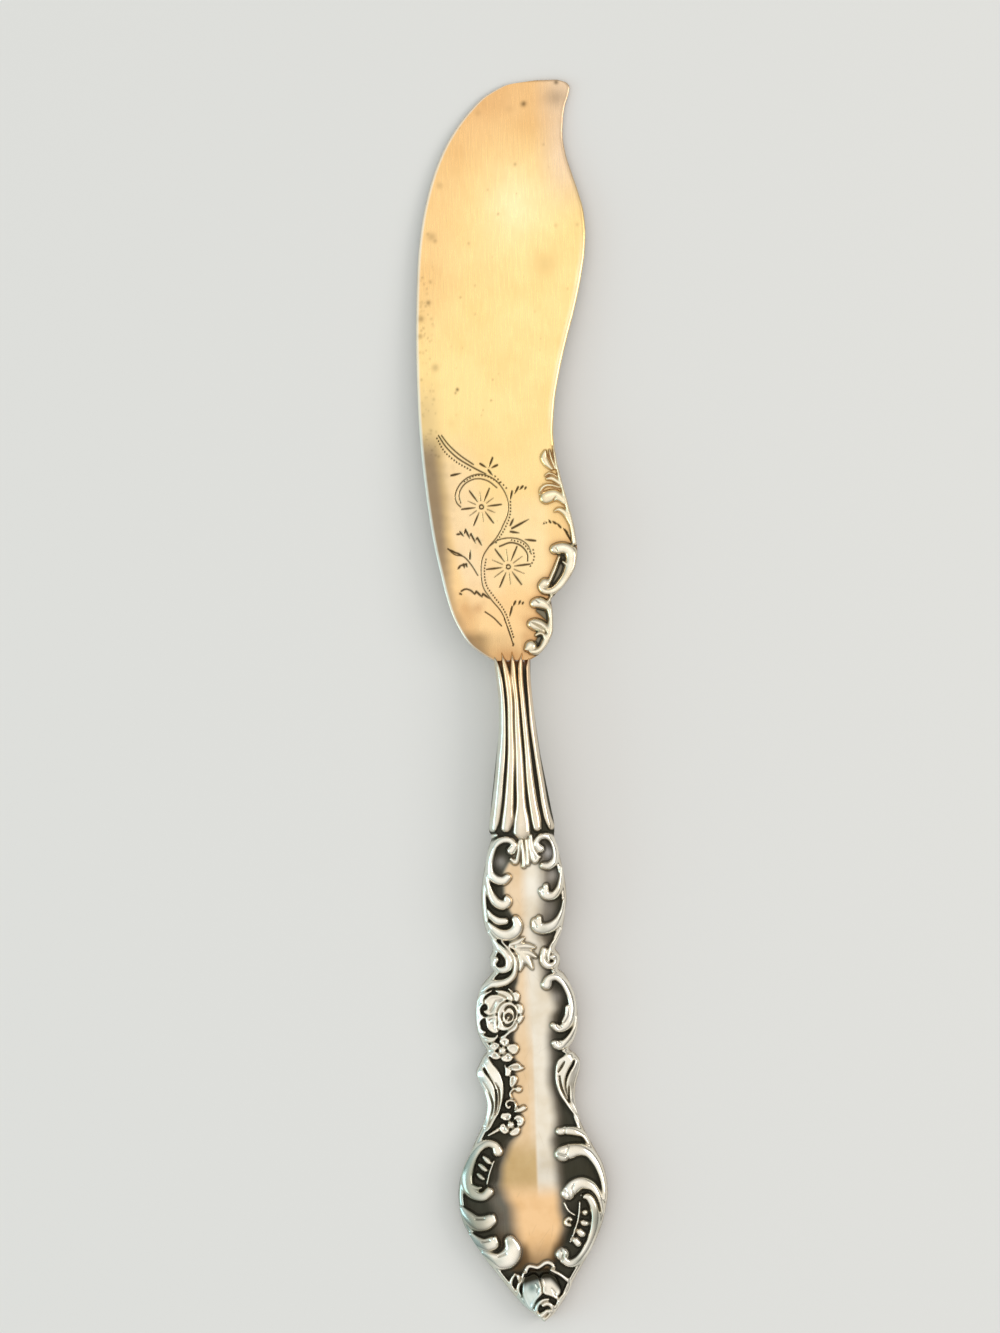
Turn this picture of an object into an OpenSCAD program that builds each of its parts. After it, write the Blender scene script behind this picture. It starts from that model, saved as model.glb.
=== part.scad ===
// Butter knife with a loaded handle. Two struck half shells, soldered edge to edge over a
// filled core, hold the tang of a broad blade that carries a cast scroll mount on its spine.
// X runs across the knife, Y along it to the blade's tip and Z up from the table, in millimetres.

/* [Blade] */
// Length of the blade from the mouth of the neck to its tip
blade_len = 87; // [70:1:110]
// Greatest width of the blade
blade_w = 26; // [22:0.5:34]
// Thickness of the blade along its spine
spine_t = 1.8; // [1.4:0.1:2.2]
// Thickness of the blade along its spreading edge and its tip
edge_t = 0.7; // [0.5:0.1:1.2]
// Height of the blade's root above the table
root_z = 5.2; // [4:0.1:8]

/* [Tang] */
// Length of the tang inside the handle
tang_len = 46; // [30:1:60]
// Width of the tang at the mouth
tang_w = 2.6; // [2:0.1:3]
// Width of the tang at its end
tang_end_w = 1.8; // [1.2:0.1:2.6]
// Step from the blade's face down to the tang
tang_step = 0.15; // [0.1:0.05:0.3]

/* [Handle] */
// Length of the fluted neck
neck_len = 26; // [20:0.5:34]
// Width of the neck where it is narrowest
neck_w = 5.1; // [4.8:0.1:7]
// Length of the upper scroll cartouche
cartouche_len = 20.3; // [16:0.5:26]
// Width of the upper scroll cartouche
cartouche_w = 12.7; // [10:0.5:16]
// Length of the rose section
rose_len = 12.2; // [10:0.5:16]
// Width of the rose section
rose_w = 15.3; // [12:0.5:19]
// Length of the waist with its leaves
waist_len = 11; // [9:0.5:15]
// Width of the waist where it is narrowest
waist_w = 13.2; // [11:0.5:16]
// Length of the head, down to the end of the handle
head_len = 29.5; // [24:0.5:38]
// Width of the head
head_w = 22.4; // [18:0.5:28]
// Thickness of the handle at the head
handle_t = 4.4; // [4:0.1:5.6]
// Thickness of the neck
neck_t = 4.4; // [4.2:0.1:5.6]
// Thickness of the neck at its mouth
mouth_t = 3.8; // [3.6:0.1:4.8]
// Thickness at the very end of the handle
end_t = 3; // [2.4:0.1:4]
// Width of the flat land under the head that the knife rests on
land_w = 10; // [8:0.5:10]
// Wall of the struck half shells
wall = 0.6; // [0.4:0.05:0.7]

/* [Ornament] */
// Height of the scrolls above the handle's face
scroll_h = 0.8; // [0.4:0.1:1.2]
// Number of reeds across the neck
reed_count = 5; // [3:1:7]
// Height of the reeds above the neck
reed_h = 0.35; // [0.2:0.05:0.6]
// Height of the spine mount above the blade's face
mount_h = 0.9; // [0.5:0.1:1.4]

/* [Joints] */
// Thickness of the solder between the two half shells
seam_t = 0.12; // [0.08:0.02:0.3]
// Width of the solder round the tang at the mouth
collar_gap = 0.3; // [0.2:0.05:0.4]
// Length of the solder collar in the mouth
collar_len = 1.5; // [1:0.1:2.5]
// Clearance round the loading and under the spine mount
fit = 0.03; // [0.02:0.01:0.1]

/* [Hidden] */

// Where the sections meet on the drawing that all outlines and ornament below are drawn on
TIP = 93;
MOUTH = 6;
NECK_FOOT = -20;
CARTOUCHE_FOOT = -40.3;
ROSE_FOOT = -52.5;
WAIST_FOOT = -63.5;
END = -93;
// The same places on the knife, which is centred on the origin
tip_y = (blade_len + neck_len + cartouche_len + rose_len + waist_len + head_len) / 2;
mouth_y = tip_y - blade_len;
neck_foot_y = mouth_y - neck_len;
cartouche_foot_y = neck_foot_y - cartouche_len;
rose_foot_y = cartouche_foot_y - rose_len;
waist_foot_y = rose_foot_y - waist_len;
end_y = waist_foot_y - head_len;

// Place along the knife of a place on the drawing, and the other way about
PLACES = [[END, end_y], [WAIST_FOOT, waist_foot_y], [ROSE_FOOT, rose_foot_y],
    [CARTOUCHE_FOOT, cartouche_foot_y], [NECK_FOOT, neck_foot_y], [MOUTH, mouth_y], [TIP, tip_y]];
function along(y) = lookup(y, PLACES);
function drawn(place) = lookup(place, [for (p = PLACES) [p[1], p[0]]]);
// Width of each section on the drawing, from the head to the blade, and the place where it is taken
DRAWN_WIDTHS = [[-74, 22.4], [-60, 13.2], [-47, 15.3], [-29, 12.7], [-1, 5.1], [20, 26]];
real_widths = [head_w, waist_w, rose_w, cartouche_w, neck_w, blade_w];
// How much wider than on the drawing the knife is there
function spread(y) = lookup(y, [for (i = [0:len(real_widths) - 1])
    [DRAWN_WIDTHS[i][0], real_widths[i] / DRAWN_WIDTHS[i][1]]]);

// Outline of the blade from its root to its tip: place, spreading edge, spine
BLADE = [[6, -2.9, 2.5], [6.6, -3.9, 3.6], [7.4, -5.1, 4.5], [8.7, -6.6, 5.45], [10.4, -7.7, 6.05],
    [13, -8.9, 6.1], [14.8, -9.45, 5.9], [15.4, -9.6, 6.35], [17, -10, 8], [18.5, -10.3, 9.1],
    [20, -10.6, 9.8], [22, -11, 10.1], [25, -11.5, 9.85], [29, -12, 9], [33, -12.4, 8.05],
    [36, -12.65, 7.45], [39.5, -12.85, 7.1], [44, -12.97, 7.45], [49, -13, 8.4], [54, -12.95, 9.7],
    [59, -12.75, 11.15], [64, -12.45, 12.3], [67, -12.2, 12.8], [70, -11.8, 13], [73, -11.25, 12.8],
    [76, -10.5, 12.1], [79, -9.55, 11.2], [82, -8.3, 10.4], [84.5, -6.95, 10.1], [87, -5.2, 10.25],
    [89, -3.45, 10.6], [90.6, -1.75, 11.15], [91.8, 0.3, 11.4], [92.5, 2, 10.95], [93, 6, 9.6]];
// Outline of the handle from the mouth to its end: place, left edge, right edge
HANDLE = [[6, -2.9, 2.5], [3.5, -2.7, 2.45], [0, -2.45, 2.65], [-4, -2.55, 3.05], [-8, -3.05, 3.5],
    [-12, -3.6, 4.15], [-16, -4.15, 4.8], [-19.2, -4.5, 5.25], [-20.3, -4.2, 5.15],
    [-22, -4.75, 5.6], [-24, -5.2, 6], [-27, -5.8, 6.55], [-29.5, -6.05, 6.7], [-32, -5.95, 6.4],
    [-34, -5.55, 6], [-36.3, -4.6, 5.05], [-37.2, -4.6, 4.75], [-38.4, -5.1, 5.4],
    [-39.4, -5.05, 5.35], [-40.3, -4.6, 5.1], [-41.1, -5.2, 5.95], [-42.7, -6.5, 6.8],
    [-44.8, -7.25, 7.5], [-47, -7.55, 7.75], [-49, -7.4, 7.7], [-51, -6.7, 7.1], [-52.4, -6, 6.3],
    [-53.2, -6.6, 7.2], [-54.4, -7.2, 7.9], [-55.6, -7.75, 7.75], [-57, -7.25, 7.35],
    [-58.5, -6.65, 7], [-60.3, -6.3, 6.95], [-62, -6.5, 7.25], [-63.5, -7, 7.7], [-65.5, -8, 8.55],
    [-67.5, -8.95, 9.6], [-70, -10.2, 10.8], [-72, -10.8, 11.25], [-74, -11, 11.4],
    [-76, -10.85, 11.1], [-78, -10.4, 10.6], [-80, -9.4, 9.85], [-82.5, -7.9, 8.6],
    [-85, -6.2, 7.1], [-87.5, -4.35, 5.6], [-89.5, -2.8, 4.6], [-91.2, -1.25, 3.4],
    [-92.4, 0.15, 2.4], [-93, 0.9, 1.5]];
// The hollow inside the handle ends here on the drawing
CORE_END = -88;
// Both ends and the middle of the flat land under the head, and how far the back rises past its ends
LAND_HEAD = -70;
LAND_FOOT = -80;
LAND_X = 0.2;
LAND_RISE = 0.1;
// The handle thins out from these places on the drawing to its end and to its mouth, and the cartouche
// has its full thickness down from here
END_TAPER = -85;
MOUTH_TAPER = 0;
FULL_HEAD = -25;
// Stations along the reeds, the half width of a reed as a share of its pitch, and the same at its tip
REED_PLACES = [6.6, 5, 2, -1.5, -6, -11, -16, -19.2];
REED_SHARE = 0.46;
REED_TIP_SHARE = 0.2;
// The neck's half sections run out on the blade here
REED_TIPS = 7.4;

// Half sections of the shells and of the hollow: share of the half width, share of the height
FRONT = [[-1, 0], [-1, 0.35], [-0.82, 0.72], [-0.4, 0.96], [0, 1], [0.4, 0.96], [0.82, 0.72],
    [1, 0.35], [1, 0]];
BACK = [[-1, 0], [-1, 0.3], [-0.8, 0.75], [0.8, 0.75], [1, 0.3], [1, 0]];
CORE = [[-1, 0.3], [-0.5, 1], [0.5, 1], [1, 0.3]];

// The flat of the back is at most this share of the half width
FLAT = 0.55;

// Strokes of the scrollwork, each a run of points with the half width there
CARTOUCHE = [
    [[-1.3, -22.3, 0.65], [-1.4, -20.9, 0.5], [-2.7, -20.8, 0.5], [-3.8, -21.6, 0.5],
        [-4.5, -23, 0.55], [-4.7, -25, 0.55], [-4, -26.5, 0.6], [-2.6, -26.7, 0.6]],
    [[-5.2, -26, 0.35], [-4.7, -28.3, 0.5], [-3.8, -29.9, 0.65], [-2.4, -30, 0.65]],
    [[-5.2, -30.8, 0.4], [-4.4, -32.4, 0.55], [-2.9, -33, 0.55]],
    [[-5, -33, 0.4], [-4.1, -34.3, 0.7], [-2.6, -35, 0.8], [-1.1, -34.3, 0.7], [-1, -32.7, 0.5]],
    [[3.1, -22.2, 0.6], [2.7, -20.9, 0.5], [3.9, -20.4, 0.5], [5, -21.2, 0.5], [5.3, -23, 0.55],
        [4.8, -24.5, 0.55], [3.4, -24.7, 0.5]],
    [[6, -25, 0.35], [5.8, -27.4, 0.5], [4.9, -29.1, 0.65], [3.3, -28.5, 0.75]],
    [[6.1, -30, 0.4], [5.7, -32.2, 0.6], [4.4, -33.8, 0.8], [2.6, -33.9, 0.85], [2.3, -32.6, 0.5]],
    [[0.4, -21.4, 0.5], [0.5, -24.6, 0.3]],
    [[-5.1, -34.6, 0.4], [-4.2, -36.4, 0.5], [-2.6, -37.8, 0.55], [-2.2, -39.3, 0.55],
        [-3.4, -40.2, 0.5], [-4.4, -39.6, 0.5], [-4.1, -38.8, 0.6]],
    [[5.4, -34.6, 0.4], [4.3, -36.6, 0.5], [3.2, -37.9, 0.5], [3.1, -39.3, 0.5], [4.1, -39.9, 0.5],
        [4.7, -39, 0.45], [4.2, -38.5, 0.4]],
    [[-1, -36.9, 0.4], [1.5, -37, 0.2]],
    [[-0.7, -37.4, 0.6], [1.1, -40, 0.25]]];
ROSE = [
    [[-2.6, -36.6, 0.3], [-1.4, -38.4, 0.45], [-1.5, -40.8, 0.5], [-2.9, -42.1, 0.55],
        [-5.2, -42.5, 0.5], [-6.5, -44.2, 0.4], [-7, -46.5, 0.4], [-6.9, -49, 0.4],
        [-6.2, -51.2, 0.4]],
    [[3.3, -42.6, 0.8], [4.4, -41.6, 0.6], [5.8, -42.4, 0.65], [6.7, -44.2, 0.65],
        [7, -46.2, 0.6], [6.4, -48.4, 0.65], [5, -49.2, 0.65], [4.1, -48.7, 0.5]],
    [[7.2, -48, 0.3], [6.8, -50.2, 0.5], [5.7, -51.6, 0.6], [4.5, -51.6, 0.7]]];
WAIST = [
    [[-6.3, -53.4, 0.4], [-5.3, -54.9, 0.7], [-4.3, -56.6, 0.7], [-4.2, -58.8, 0.6],
        [-5, -61.4, 0.45], [-6.3, -64.4, 0.25]],
    [[-7.2, -55.5, 0.3], [-6.2, -56.7, 0.55], [-5.5, -58.6, 0.6], [-5.4, -60.4, 0.5]],
    [[5, -54, 0.3], [4.4, -56.3, 0.45], [4.7, -59, 0.4], [6.2, -61.8, 0.35], [7, -63, 0.25]],
    [[7.4, -54.2, 0.3], [6.5, -55.8, 0.65], [6, -58, 0.65], [6.3, -60.4, 0.5]],
    [[-1.6, -58.2, 0.4], [-2.6, -58.7, 0.3], [-2.3, -60.4, 0.3], [-1, -61, 0.2]]];
HEAD = [
    [[-4.7, -67.3, 0.85], [-5.6, -66, 0.6], [-7.2, -66.3, 0.65], [-8.6, -68.1, 0.65],
        [-9.5, -70.5, 0.65], [-9.5, -73, 0.65], [-8.2, -74.3, 0.65], [-6.6, -73.9, 0.65],
        [-6.1, -73, 0.8]],
    [[-6.5, -68.6, 0.55], [-7.2, -69.6, 0.5], [-7.6, -70.8, 0.5]],
    [[-10.2, -76.4, 0.5], [-9, -78, 0.8], [-7.5, -78.2, 0.9], [-5.8, -77.4, 0.7]],
    [[-8.8, -80.2, 0.5], [-7.6, -81.2, 0.9], [-6.2, -81.2, 0.9], [-5.4, -80.7, 0.7]],
    [[-6.9, -82.9, 0.5], [-5.6, -83.7, 0.9], [-4.2, -83.7, 1.1], [-3, -82.6, 1.1], [-3.3, -80.5, 0.6]],
    [[4.5, -64.6, 0.6], [6.2, -64.5, 0.6], [7.6, -65.1, 0.5], [8.5, -66.5, 0.35]],
    [[4.6, -68, 1.1], [6.4, -67.6, 0.95], [8.3, -67.9, 0.75], [9.7, -69.5, 0.7],
        [10.5, -71.6, 0.55], [10.8, -74.5, 0.45]],
    [[5.5, -74, 0.95], [6.8, -72.7, 0.85], [8.4, -72.6, 0.8], [9.6, -73.9, 0.7], [10.3, -75.8, 0.45]],
    [[7.7, -74.4, 0.5], [9, -75.3, 0.6], [9.5, -77.3, 0.65], [9.1, -79.6, 0.65], [8, -82.1, 0.65],
        [6.4, -83.9, 0.75], [5, -84.3, 0.75], [4.2, -83, 1]],
    [[7, -76, 0.25], [6.3, -79.3, 0.25], [5.5, -81.2, 0.25]],
    [[-2.4, -86.6, 0.45], [-1, -85, 0.45], [0.6, -84.6, 0.45], [2.2, -84.2, 0.45],
        [3.4, -85.4, 0.45], [4.6, -86.8, 0.45], [4.2, -88.4, 0.4]]];
// Single beads and petals, as a point with its radius
BEADS = [[8, -76.9, 0.45], [8, -78.5, 0.5], [7.3, -80, 0.55], [6.6, -81.3, 0.55],
    [-0.7, -88.4, 1.35], [2.3, -88.1, 1.3], [1.5, -90.9, 0.9]];
// Flowers: centre, radius, number of petals
FLOWERS = [[[-3.3, -46.9], 2.95, 6], [[-3.7, -52.2], 1.9, 5], [[-2.8, -63.4], 1.75, 5]];
// Profile of a flower from its foot to its eye: share of the radius, share of the scrolls' height
// with -1 for the foot, and how deep the petals are cut
FLOWER_PROFILE = [[0.9, -1, 0], [1, 0.1, 0.3], [0.8, 0.75, 0.25], [0.4, 0.4, 0], [0.3, 0.9, 0],
    [0.15, 1, 0]];
BEAD_PROFILE = [[1, -1, 0], [1, 0.1, 0], [0.55, 1, 0]];
// Strokes of the mount on the blade's spine: leaf, C-scroll and S-scroll
MOUNT = [
    [[7, 36.6, 0.3], [7, 34, 0.5], [7.6, 31.4, 0.55], [8.3, 28.6, 0.55], [9.1, 26, 0.45],
        [9.3, 24, 0.45], [8.8, 22.9, 0.5]],
    [[6.9, 33.8, 0.5], [5.7, 36.4, 0.35]],
    [[7.3, 32.4, 0.5], [5.9, 33, 0.35]],
    [[7.6, 31, 0.6], [5.6, 30, 0.85]],
    [[8.3, 28.4, 0.5], [6.8, 28, 0.35]],
    [[6.7, 22.2, 0.5], [7.6, 22.9, 0.5], [8.8, 22.9, 0.5], [9.4, 21.4, 0.5], [9.1, 19.6, 0.5],
        [8, 17.8, 0.55], [6.8, 16.5, 0.55], [5.2, 16.3, 0.6], [4.9, 17.4, 0.8]],
    [[6.7, 22.2, 0.3], [5.6, 18.2, 0.3]],
    [[5.6, 16.2, 0.4], [5.2, 14.4, 0.5], [5.4, 12.4, 0.5], [5.3, 10.4, 0.55], [4.6, 8.6, 0.55],
        [3.6, 7.8, 0.5], [2.6, 8.2, 0.6]],
    [[5.2, 14.4, 0.45], [4.2, 14.8, 0.45], [3.5, 14.5, 0.6]],
    [[5.3, 10.6, 0.4], [4.2, 11.5, 0.45], [2.8, 11.5, 0.6]]];
// The crest of a stroke is this share of its width
CREST = 0.5;
// Corners of a bead, and of each petal of a flower
BEAD_CORNERS = 6;
// Past its last point a stroke runs on by this share of its half width, and narrows to this share
END_REACH = 0.8;
END_SHARE = 0.4;
// The edge is as thick as the spine at the root, and thins out over this stretch of the drawing
ROOT_REACH = 14;
// The tang is drawn in this many steps
TANG_STEPS = 8;
// Strokes start this far clear of the seam
SEAM_CLEAR = 0.2;

// Fall of the blade's middle plane from the mouth, where it is highest, to the tip on the table
blade_fall = (root_z - edge_t / 2) / blade_len;
// Height of the blade's middle plane and of the handle's seam at a place along the knife:
// level under the head, arched up to the mouth and falling straight to the tip
function mid_at(place) = place >= mouth_y ? root_z - blade_fall * (place - mouth_y)
    : place <= waist_foot_y ? handle_t / 2
    : let (reach = mouth_y - waist_foot_y, t = (place - waist_foot_y) / reach)
        handle_t / 2 * (1 + t * t * (2 * t - 3)) + root_z * t * t * (3 - 2 * t)
        - blade_fall * reach * t * t * (t - 1);
function mid(y) = mid_at(along(y));
// Half the thickness of the handle, greatest over the flat land and running out on the blade
function half_t(y) = lookup(y, [[END, end_t / 2], [END_TAPER, handle_t / 2 - LAND_RISE],
    [LAND_FOOT, handle_t / 2], [LAND_HEAD, handle_t / 2], [WAIST_FOOT, handle_t / 2 - LAND_RISE],
    [FULL_HEAD, handle_t / 2], [NECK_FOOT, neck_t / 2], [MOUTH_TAPER, neck_t / 2],
    [MOUTH, mouth_t / 2], [REED_TIPS, spine_t / 2]]);
// Thickness of the spine, which thins out to the tip, and of the edge, which thins out from the root
function spine(y) = edge_t + (spine_t - edge_t) * (1 - pow((y - MOUTH) / (TIP - MOUTH), 2));
function edge(y) = edge_t + (spine_t - edge_t) * pow(max(0, 1 - (y - MOUTH) / ROOT_REACH), 2);
// Edges of the handle on the drawing
function left_edge(y) = -lookup(y, [for (s = HANDLE) [s[0], -s[1]]]);
function right_edge(y) = lookup(y, [for (s = HANDLE) [s[0], s[2]]]);
// Share of the height that the front face has at a share of the half width
function crown(u) = lookup(u, [for (p = FRONT) if (p[1] > 0) p]);
// Share of the half width at a place on the drawing, from -1 at the left edge to 1 at the right
function across(x, y) = (2 * x - left_edge(y) - right_edge(y)) / (right_edge(y) - left_edge(y));
// Half section of the back at one station, with straight edges to the land under the head
function back_section(s) = let (middle = (s[1] + s[2]) / 2, half_w = (s[2] - s[1]) / 2,
        land = land_w / 2 / spread(s[0]))
    [BACK[0], BACK[1], BACK[2], [max(-FLAT, (LAND_X - land - middle) / half_w), 1],
        [min(FLAT, (LAND_X + land - middle) / half_w), 1], BACK[3], BACK[4], BACK[5]];
// Ring of a section at one station: shares of half width and of height, on one side of the seam
function ring(s, section, inset, height, lift) = [for (p = section)
    let (middle = (s[1] + s[2]) / 2 * spread(s[0]), half_w = (s[2] - s[1]) / 2 * spread(s[0]) - inset)
    [middle + p[0] * half_w, along(s[0]), mid(s[0]) + lift + p[1] * height]];
// A half section and its mirror image, in order round the whole section
function both_sides(section) = concat(section,
    [for (i = [len(section) - 1:-1:0]) [section[i][0], -section[i][1]]]);
// Ring round the blade at one station, with its edges broken
function blade_ring(s, grow) = let (w = spread(s[0]), l = s[1] * w - grow, r = s[2] * w + grow,
        e = edge(s[0]) / 2 + grow, t = spine(s[0]) / 2 + grow, c = edge_t / 2)
    [for (p = [[l, -e / 2], [l, e / 2], [l + c, e], [r - c, t], [r, t / 2], [r, -t / 2],
        [r - c, -t], [l + c, -e]]) [p[0], along(s[0]), mid(s[0]) + p[1]]];

// Closed skin over rings of equal length
module loft(rings) {
    n = len(rings[0]);
    last = (len(rings) - 1) * n;
    polyhedron([for (r = rings) each r], concat(
        [[for (k = [n - 1:-1:0]) k]],
        [for (i = [0:n:last - n], k = [0:n - 1]) [i + k, i + (k + 1) % n, i + n + k]],
        [for (i = [0:n:last - n], k = [0:n - 1]) [i + (k + 1) % n, i + n + (k + 1) % n, i + n + k]],
        [[for (k = [0:n - 1]) last + k]]));
}

// A stroke's points with a narrow one added past each end, so that it ends round
function past_end(a, b) = let (d = [a[0] - b[0], a[1] - b[1]], reach = END_REACH * a[2] / norm(d))
    [a[0] + d[0] * reach, a[1] + d[1] * reach, a[2] * END_SHARE];
function rounded(points) = let (n = len(points) - 1) concat([past_end(points[0], points[1])], points,
    [past_end(points[n], points[n - 1])]);
// Height above the seam's middle at which the handle's face lies under a point
function face_z(p) = seam_t / 2 + (half_t(p[1]) - seam_t / 2) * crown(across(p[0], p[1]));
// Ring across a stroke at its point i, from the height floor_z up to a crest above face
function stroke_ring(points, i, floor_z, face, crest_h, side) = let (p = points[i],
        a = points[max(i - 1, 0)], b = points[min(i + 1, len(points) - 1)],
        d = [b[0] - a[0], b[1] - a[1]] / norm([b[0] - a[0], b[1] - a[1]]), r = p[2] * side)
    [for (c = [[-1, floor_z], [-1, face], [-CREST, face + crest_h], [CREST, face + crest_h], [1, face],
        [1, floor_z]])
        [(p[0] - d[1] * c[0] * r) * spread(p[1]), along(p[1] + d[0] * c[0] * r), mid(p[1]) + side * c[1]]];

// Stroke of scrollwork on a face of the handle
module stroke(points, crest_h, side = 1) {
    run = rounded(points);
    loft([for (i = [0:len(run) - 1])
        stroke_ring(run, i, seam_t / 2 + SEAM_CLEAR, face_z(run[i]), crest_h, side)]);
}

// Round bead on the face of the handle, with its crest drawn in
module bead(p) {
    flower([[p[0], p[1]], p[2], 0]);
}

// Open flower on the face of the handle: its petals rise from their rims and dip to a raised eye
module flower(f) {
    centre = [f[0][0], f[0][1]];
    corners = BEAD_CORNERS * max(f[2], 1);
    face = face_z(centre);
    loft([for (c = f[2] > 0 ? FLOWER_PROFILE : BEAD_PROFILE) [for (k = [corners - 1:-1:0])
        let (turn = 360 / corners * k, r = f[1] * c[0] * (1 - c[2] * pow(cos(turn * f[2] / 2), 2)))
        [(centre[0] + r * cos(turn)) * spread(centre[1]), along(centre[1] + r * sin(turn)),
            mid(centre[1]) + (c[1] < 0 ? seam_t / 2 + SEAM_CLEAR : face + c[1] * scroll_h)]]]);
}

// Reeds that run down the neck and end in points on the blade
module reeds(side) {
    for (k = [0:reed_count - 1]) stroke([for (y = REED_PLACES)
        let (l = left_edge(y), pitch = (right_edge(y) - l) / reed_count)
        [l + (k + 0.5) * pitch, y, pitch * (y > MOUTH ? REED_TIP_SHARE : REED_SHARE)]], reed_h, side);
}

// One half of the handle as a full block, on the side of the seam that is given
module half_block(side) {
    rings = [for (s = HANDLE) ring(s, [for (p = side > 0 ? FRONT : back_section(s)) [p[0], p[1] * side]],
        0, half_t(s[0]) - seam_t / 2, side * seam_t / 2)];
    loft(side > 0 ? rings : [for (r = rings) [for (k = [len(r) - 1:-1:0]) r[k]]]);
}

// The hollow of the handle below the solder collar, drawn in by a clearance
module hollow(clearance) {
    inner = wall + clearance;
    top = drawn(mouth_y - collar_len - clearance);
    stations = concat([[top, left_edge(top), right_edge(top)]],
        [for (s = HANDLE) if (s[0] < top - fit && s[0] > CORE_END) s]);
    loft([for (s = stations) ring(s, both_sides(CORE), inner, half_t(s[0]) - inner, 0)]);
}

// Slot through the mouth of the neck, run on by some at both ends
module mouth_slot(run_on) {
    half_w = tang_w / 2 + collar_gap;
    half_h = spine_t / 2 - tang_step + collar_gap;
    loft([for (place = [mouth_y + run_on, mouth_y - collar_len - run_on])
        [for (p = [[-1, -1], [-1, 1], [1, 1], [1, -1]])
            [p[0] * half_w, place, mid_at(place) + p[1] * half_h]]]);
}

// Plate of the blade from its tip to its root
function plate_rings(grow) = [for (i = [len(BLADE) - 1:-1:0]) blade_ring(BLADE[i], grow)];
// Tang from the root to its end
function tang_rings(grow) = [for (i = [0:TANG_STEPS]) let (share = i / TANG_STEPS,
        place = mouth_y - share * (tang_len + grow), t = spine_t / 2 - tang_step + grow,
        w = (tang_w + (tang_end_w - tang_w) * share) / 2 + grow, c = edge_t / 2)
    [for (p = [[-w, -t / 2], [-w, t / 2], [c - w, t], [w - c, t], [w, t / 2], [w, -t / 2], [w - c, -t],
        [c - w, -t]]) [p[0], place, mid_at(place) + p[1]]]];

module blade() {
    color("#e2c48c") loft(concat(plate_rings(0), tang_rings(0)));
}

// Stroke of the mount, on the face of the blade
module mount_stroke(run) {
    loft([for (i = [0:len(run) - 1]) stroke_ring(run, i, 0, spine(run[i][1]) / 2, mount_h, 1)]);
}

module spine_mount() {
    color("#d9d2c3") difference() {
        for (s = MOUNT) mount_stroke(rounded(s));
        loft(plate_rings(fit));
    }
}

module handle_front() {
    color("#d3cbbb") difference() {
        union() {
            half_block(1);
            reeds(1);
            for (s = concat(CARTOUCHE, ROSE, WAIST, HEAD)) stroke(s, scroll_h);
            for (b = BEADS) bead(b);
            for (f = FLOWERS) flower(f);
        }
        hollow(0);
        mouth_slot(fit);
        loft(plate_rings(fit));
    }
}

module handle_back() {
    color("#c9c2b4") difference() {
        union() {
            half_block(-1);
            reeds(-1);
        }
        hollow(0);
        mouth_slot(fit);
        loft(plate_rings(fit));
    }
}

module handle_loading() {
    color("#3b2a1e") difference() {
        hollow(fit);
        loft(tang_rings(fit));
    }
}

module seam_solder() {
    color("#a9a69f") difference() {
        loft([for (s = HANDLE) ring(s, [[-1, -1], [-1, 1], [1, 1], [1, -1]], 0, seam_t / 2, 0)]);
        hollow(0);
        mouth_slot(fit);
    }
}

module neck_solder() {
    color("#b4b1aa") difference() {
        mouth_slot(0);
        loft(tang_rings(0));
    }
}

blade();
spine_mount();
handle_front();
handle_back();
handle_loading();
seam_solder();
neck_solder();
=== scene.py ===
"""Butter knife with an engraved blade, a cast spine mount, a reeded neck and a struck scroll handle.

X runs across the knife, Y along it to the blade's tip and Z up from the table. Outlines, ornament and
heights are worked out in millimetres, and turned into metres when a mesh is made.
"""

import math

import bpy
import numpy as np
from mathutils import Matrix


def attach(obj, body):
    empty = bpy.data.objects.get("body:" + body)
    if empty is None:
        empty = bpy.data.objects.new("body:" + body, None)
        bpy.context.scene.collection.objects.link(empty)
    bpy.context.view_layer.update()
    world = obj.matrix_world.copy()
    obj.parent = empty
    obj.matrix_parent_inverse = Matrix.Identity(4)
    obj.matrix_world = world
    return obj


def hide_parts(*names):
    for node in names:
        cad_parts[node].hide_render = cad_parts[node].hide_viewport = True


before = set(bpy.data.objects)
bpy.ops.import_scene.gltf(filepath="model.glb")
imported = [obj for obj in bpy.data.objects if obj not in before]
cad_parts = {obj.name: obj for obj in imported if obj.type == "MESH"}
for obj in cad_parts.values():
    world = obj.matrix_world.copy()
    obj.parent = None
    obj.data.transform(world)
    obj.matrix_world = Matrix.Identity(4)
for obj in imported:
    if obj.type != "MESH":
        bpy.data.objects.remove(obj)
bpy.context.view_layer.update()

# Places along the knife where its sections meet
TIP, MOUTH, NECK_FOOT, WAIST_FOOT, END = 93.0, 6.0, -20.0, -63.5, -93.0
# The handle's half sections run out on the blade here, and its hollow lies between the next two
REED_TIPS, CORE_HEAD, CORE_END = 7.4, 4.5, -88.0
# Heights and thicknesses
ROOT_Z, SPINE_T, EDGE_T, ROOT_REACH = 5.2, 1.8, 0.7, 14.0
HANDLE_T, MOUTH_T, END_T, WALL, SEAM_T = 4.4, 3.8, 3.0, 0.6, 0.12
LAND_HEAD, LAND_FOOT, LAND_X, LAND_W, LAND_RISE = -70.0, -80.0, 0.2, 10.0, 0.1
TANG_LEN, TANG_W, TANG_END_W, TANG_T = 46.0, 2.6, 1.8, 1.5
# Crest of the scrolls, the reeds, the rim and the spine mount, and the depth of the ground between them
SCROLL_H, REED_H, RIM_H, MOUNT_H, RECESS = 0.75, 0.33, 0.42, 0.8, 0.35
# Crest of the leaves and tendrils, and of the petals
LEAF_H, PETAL_H = SCROLL_H * 0.75, SCROLL_H * 0.85
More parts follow.
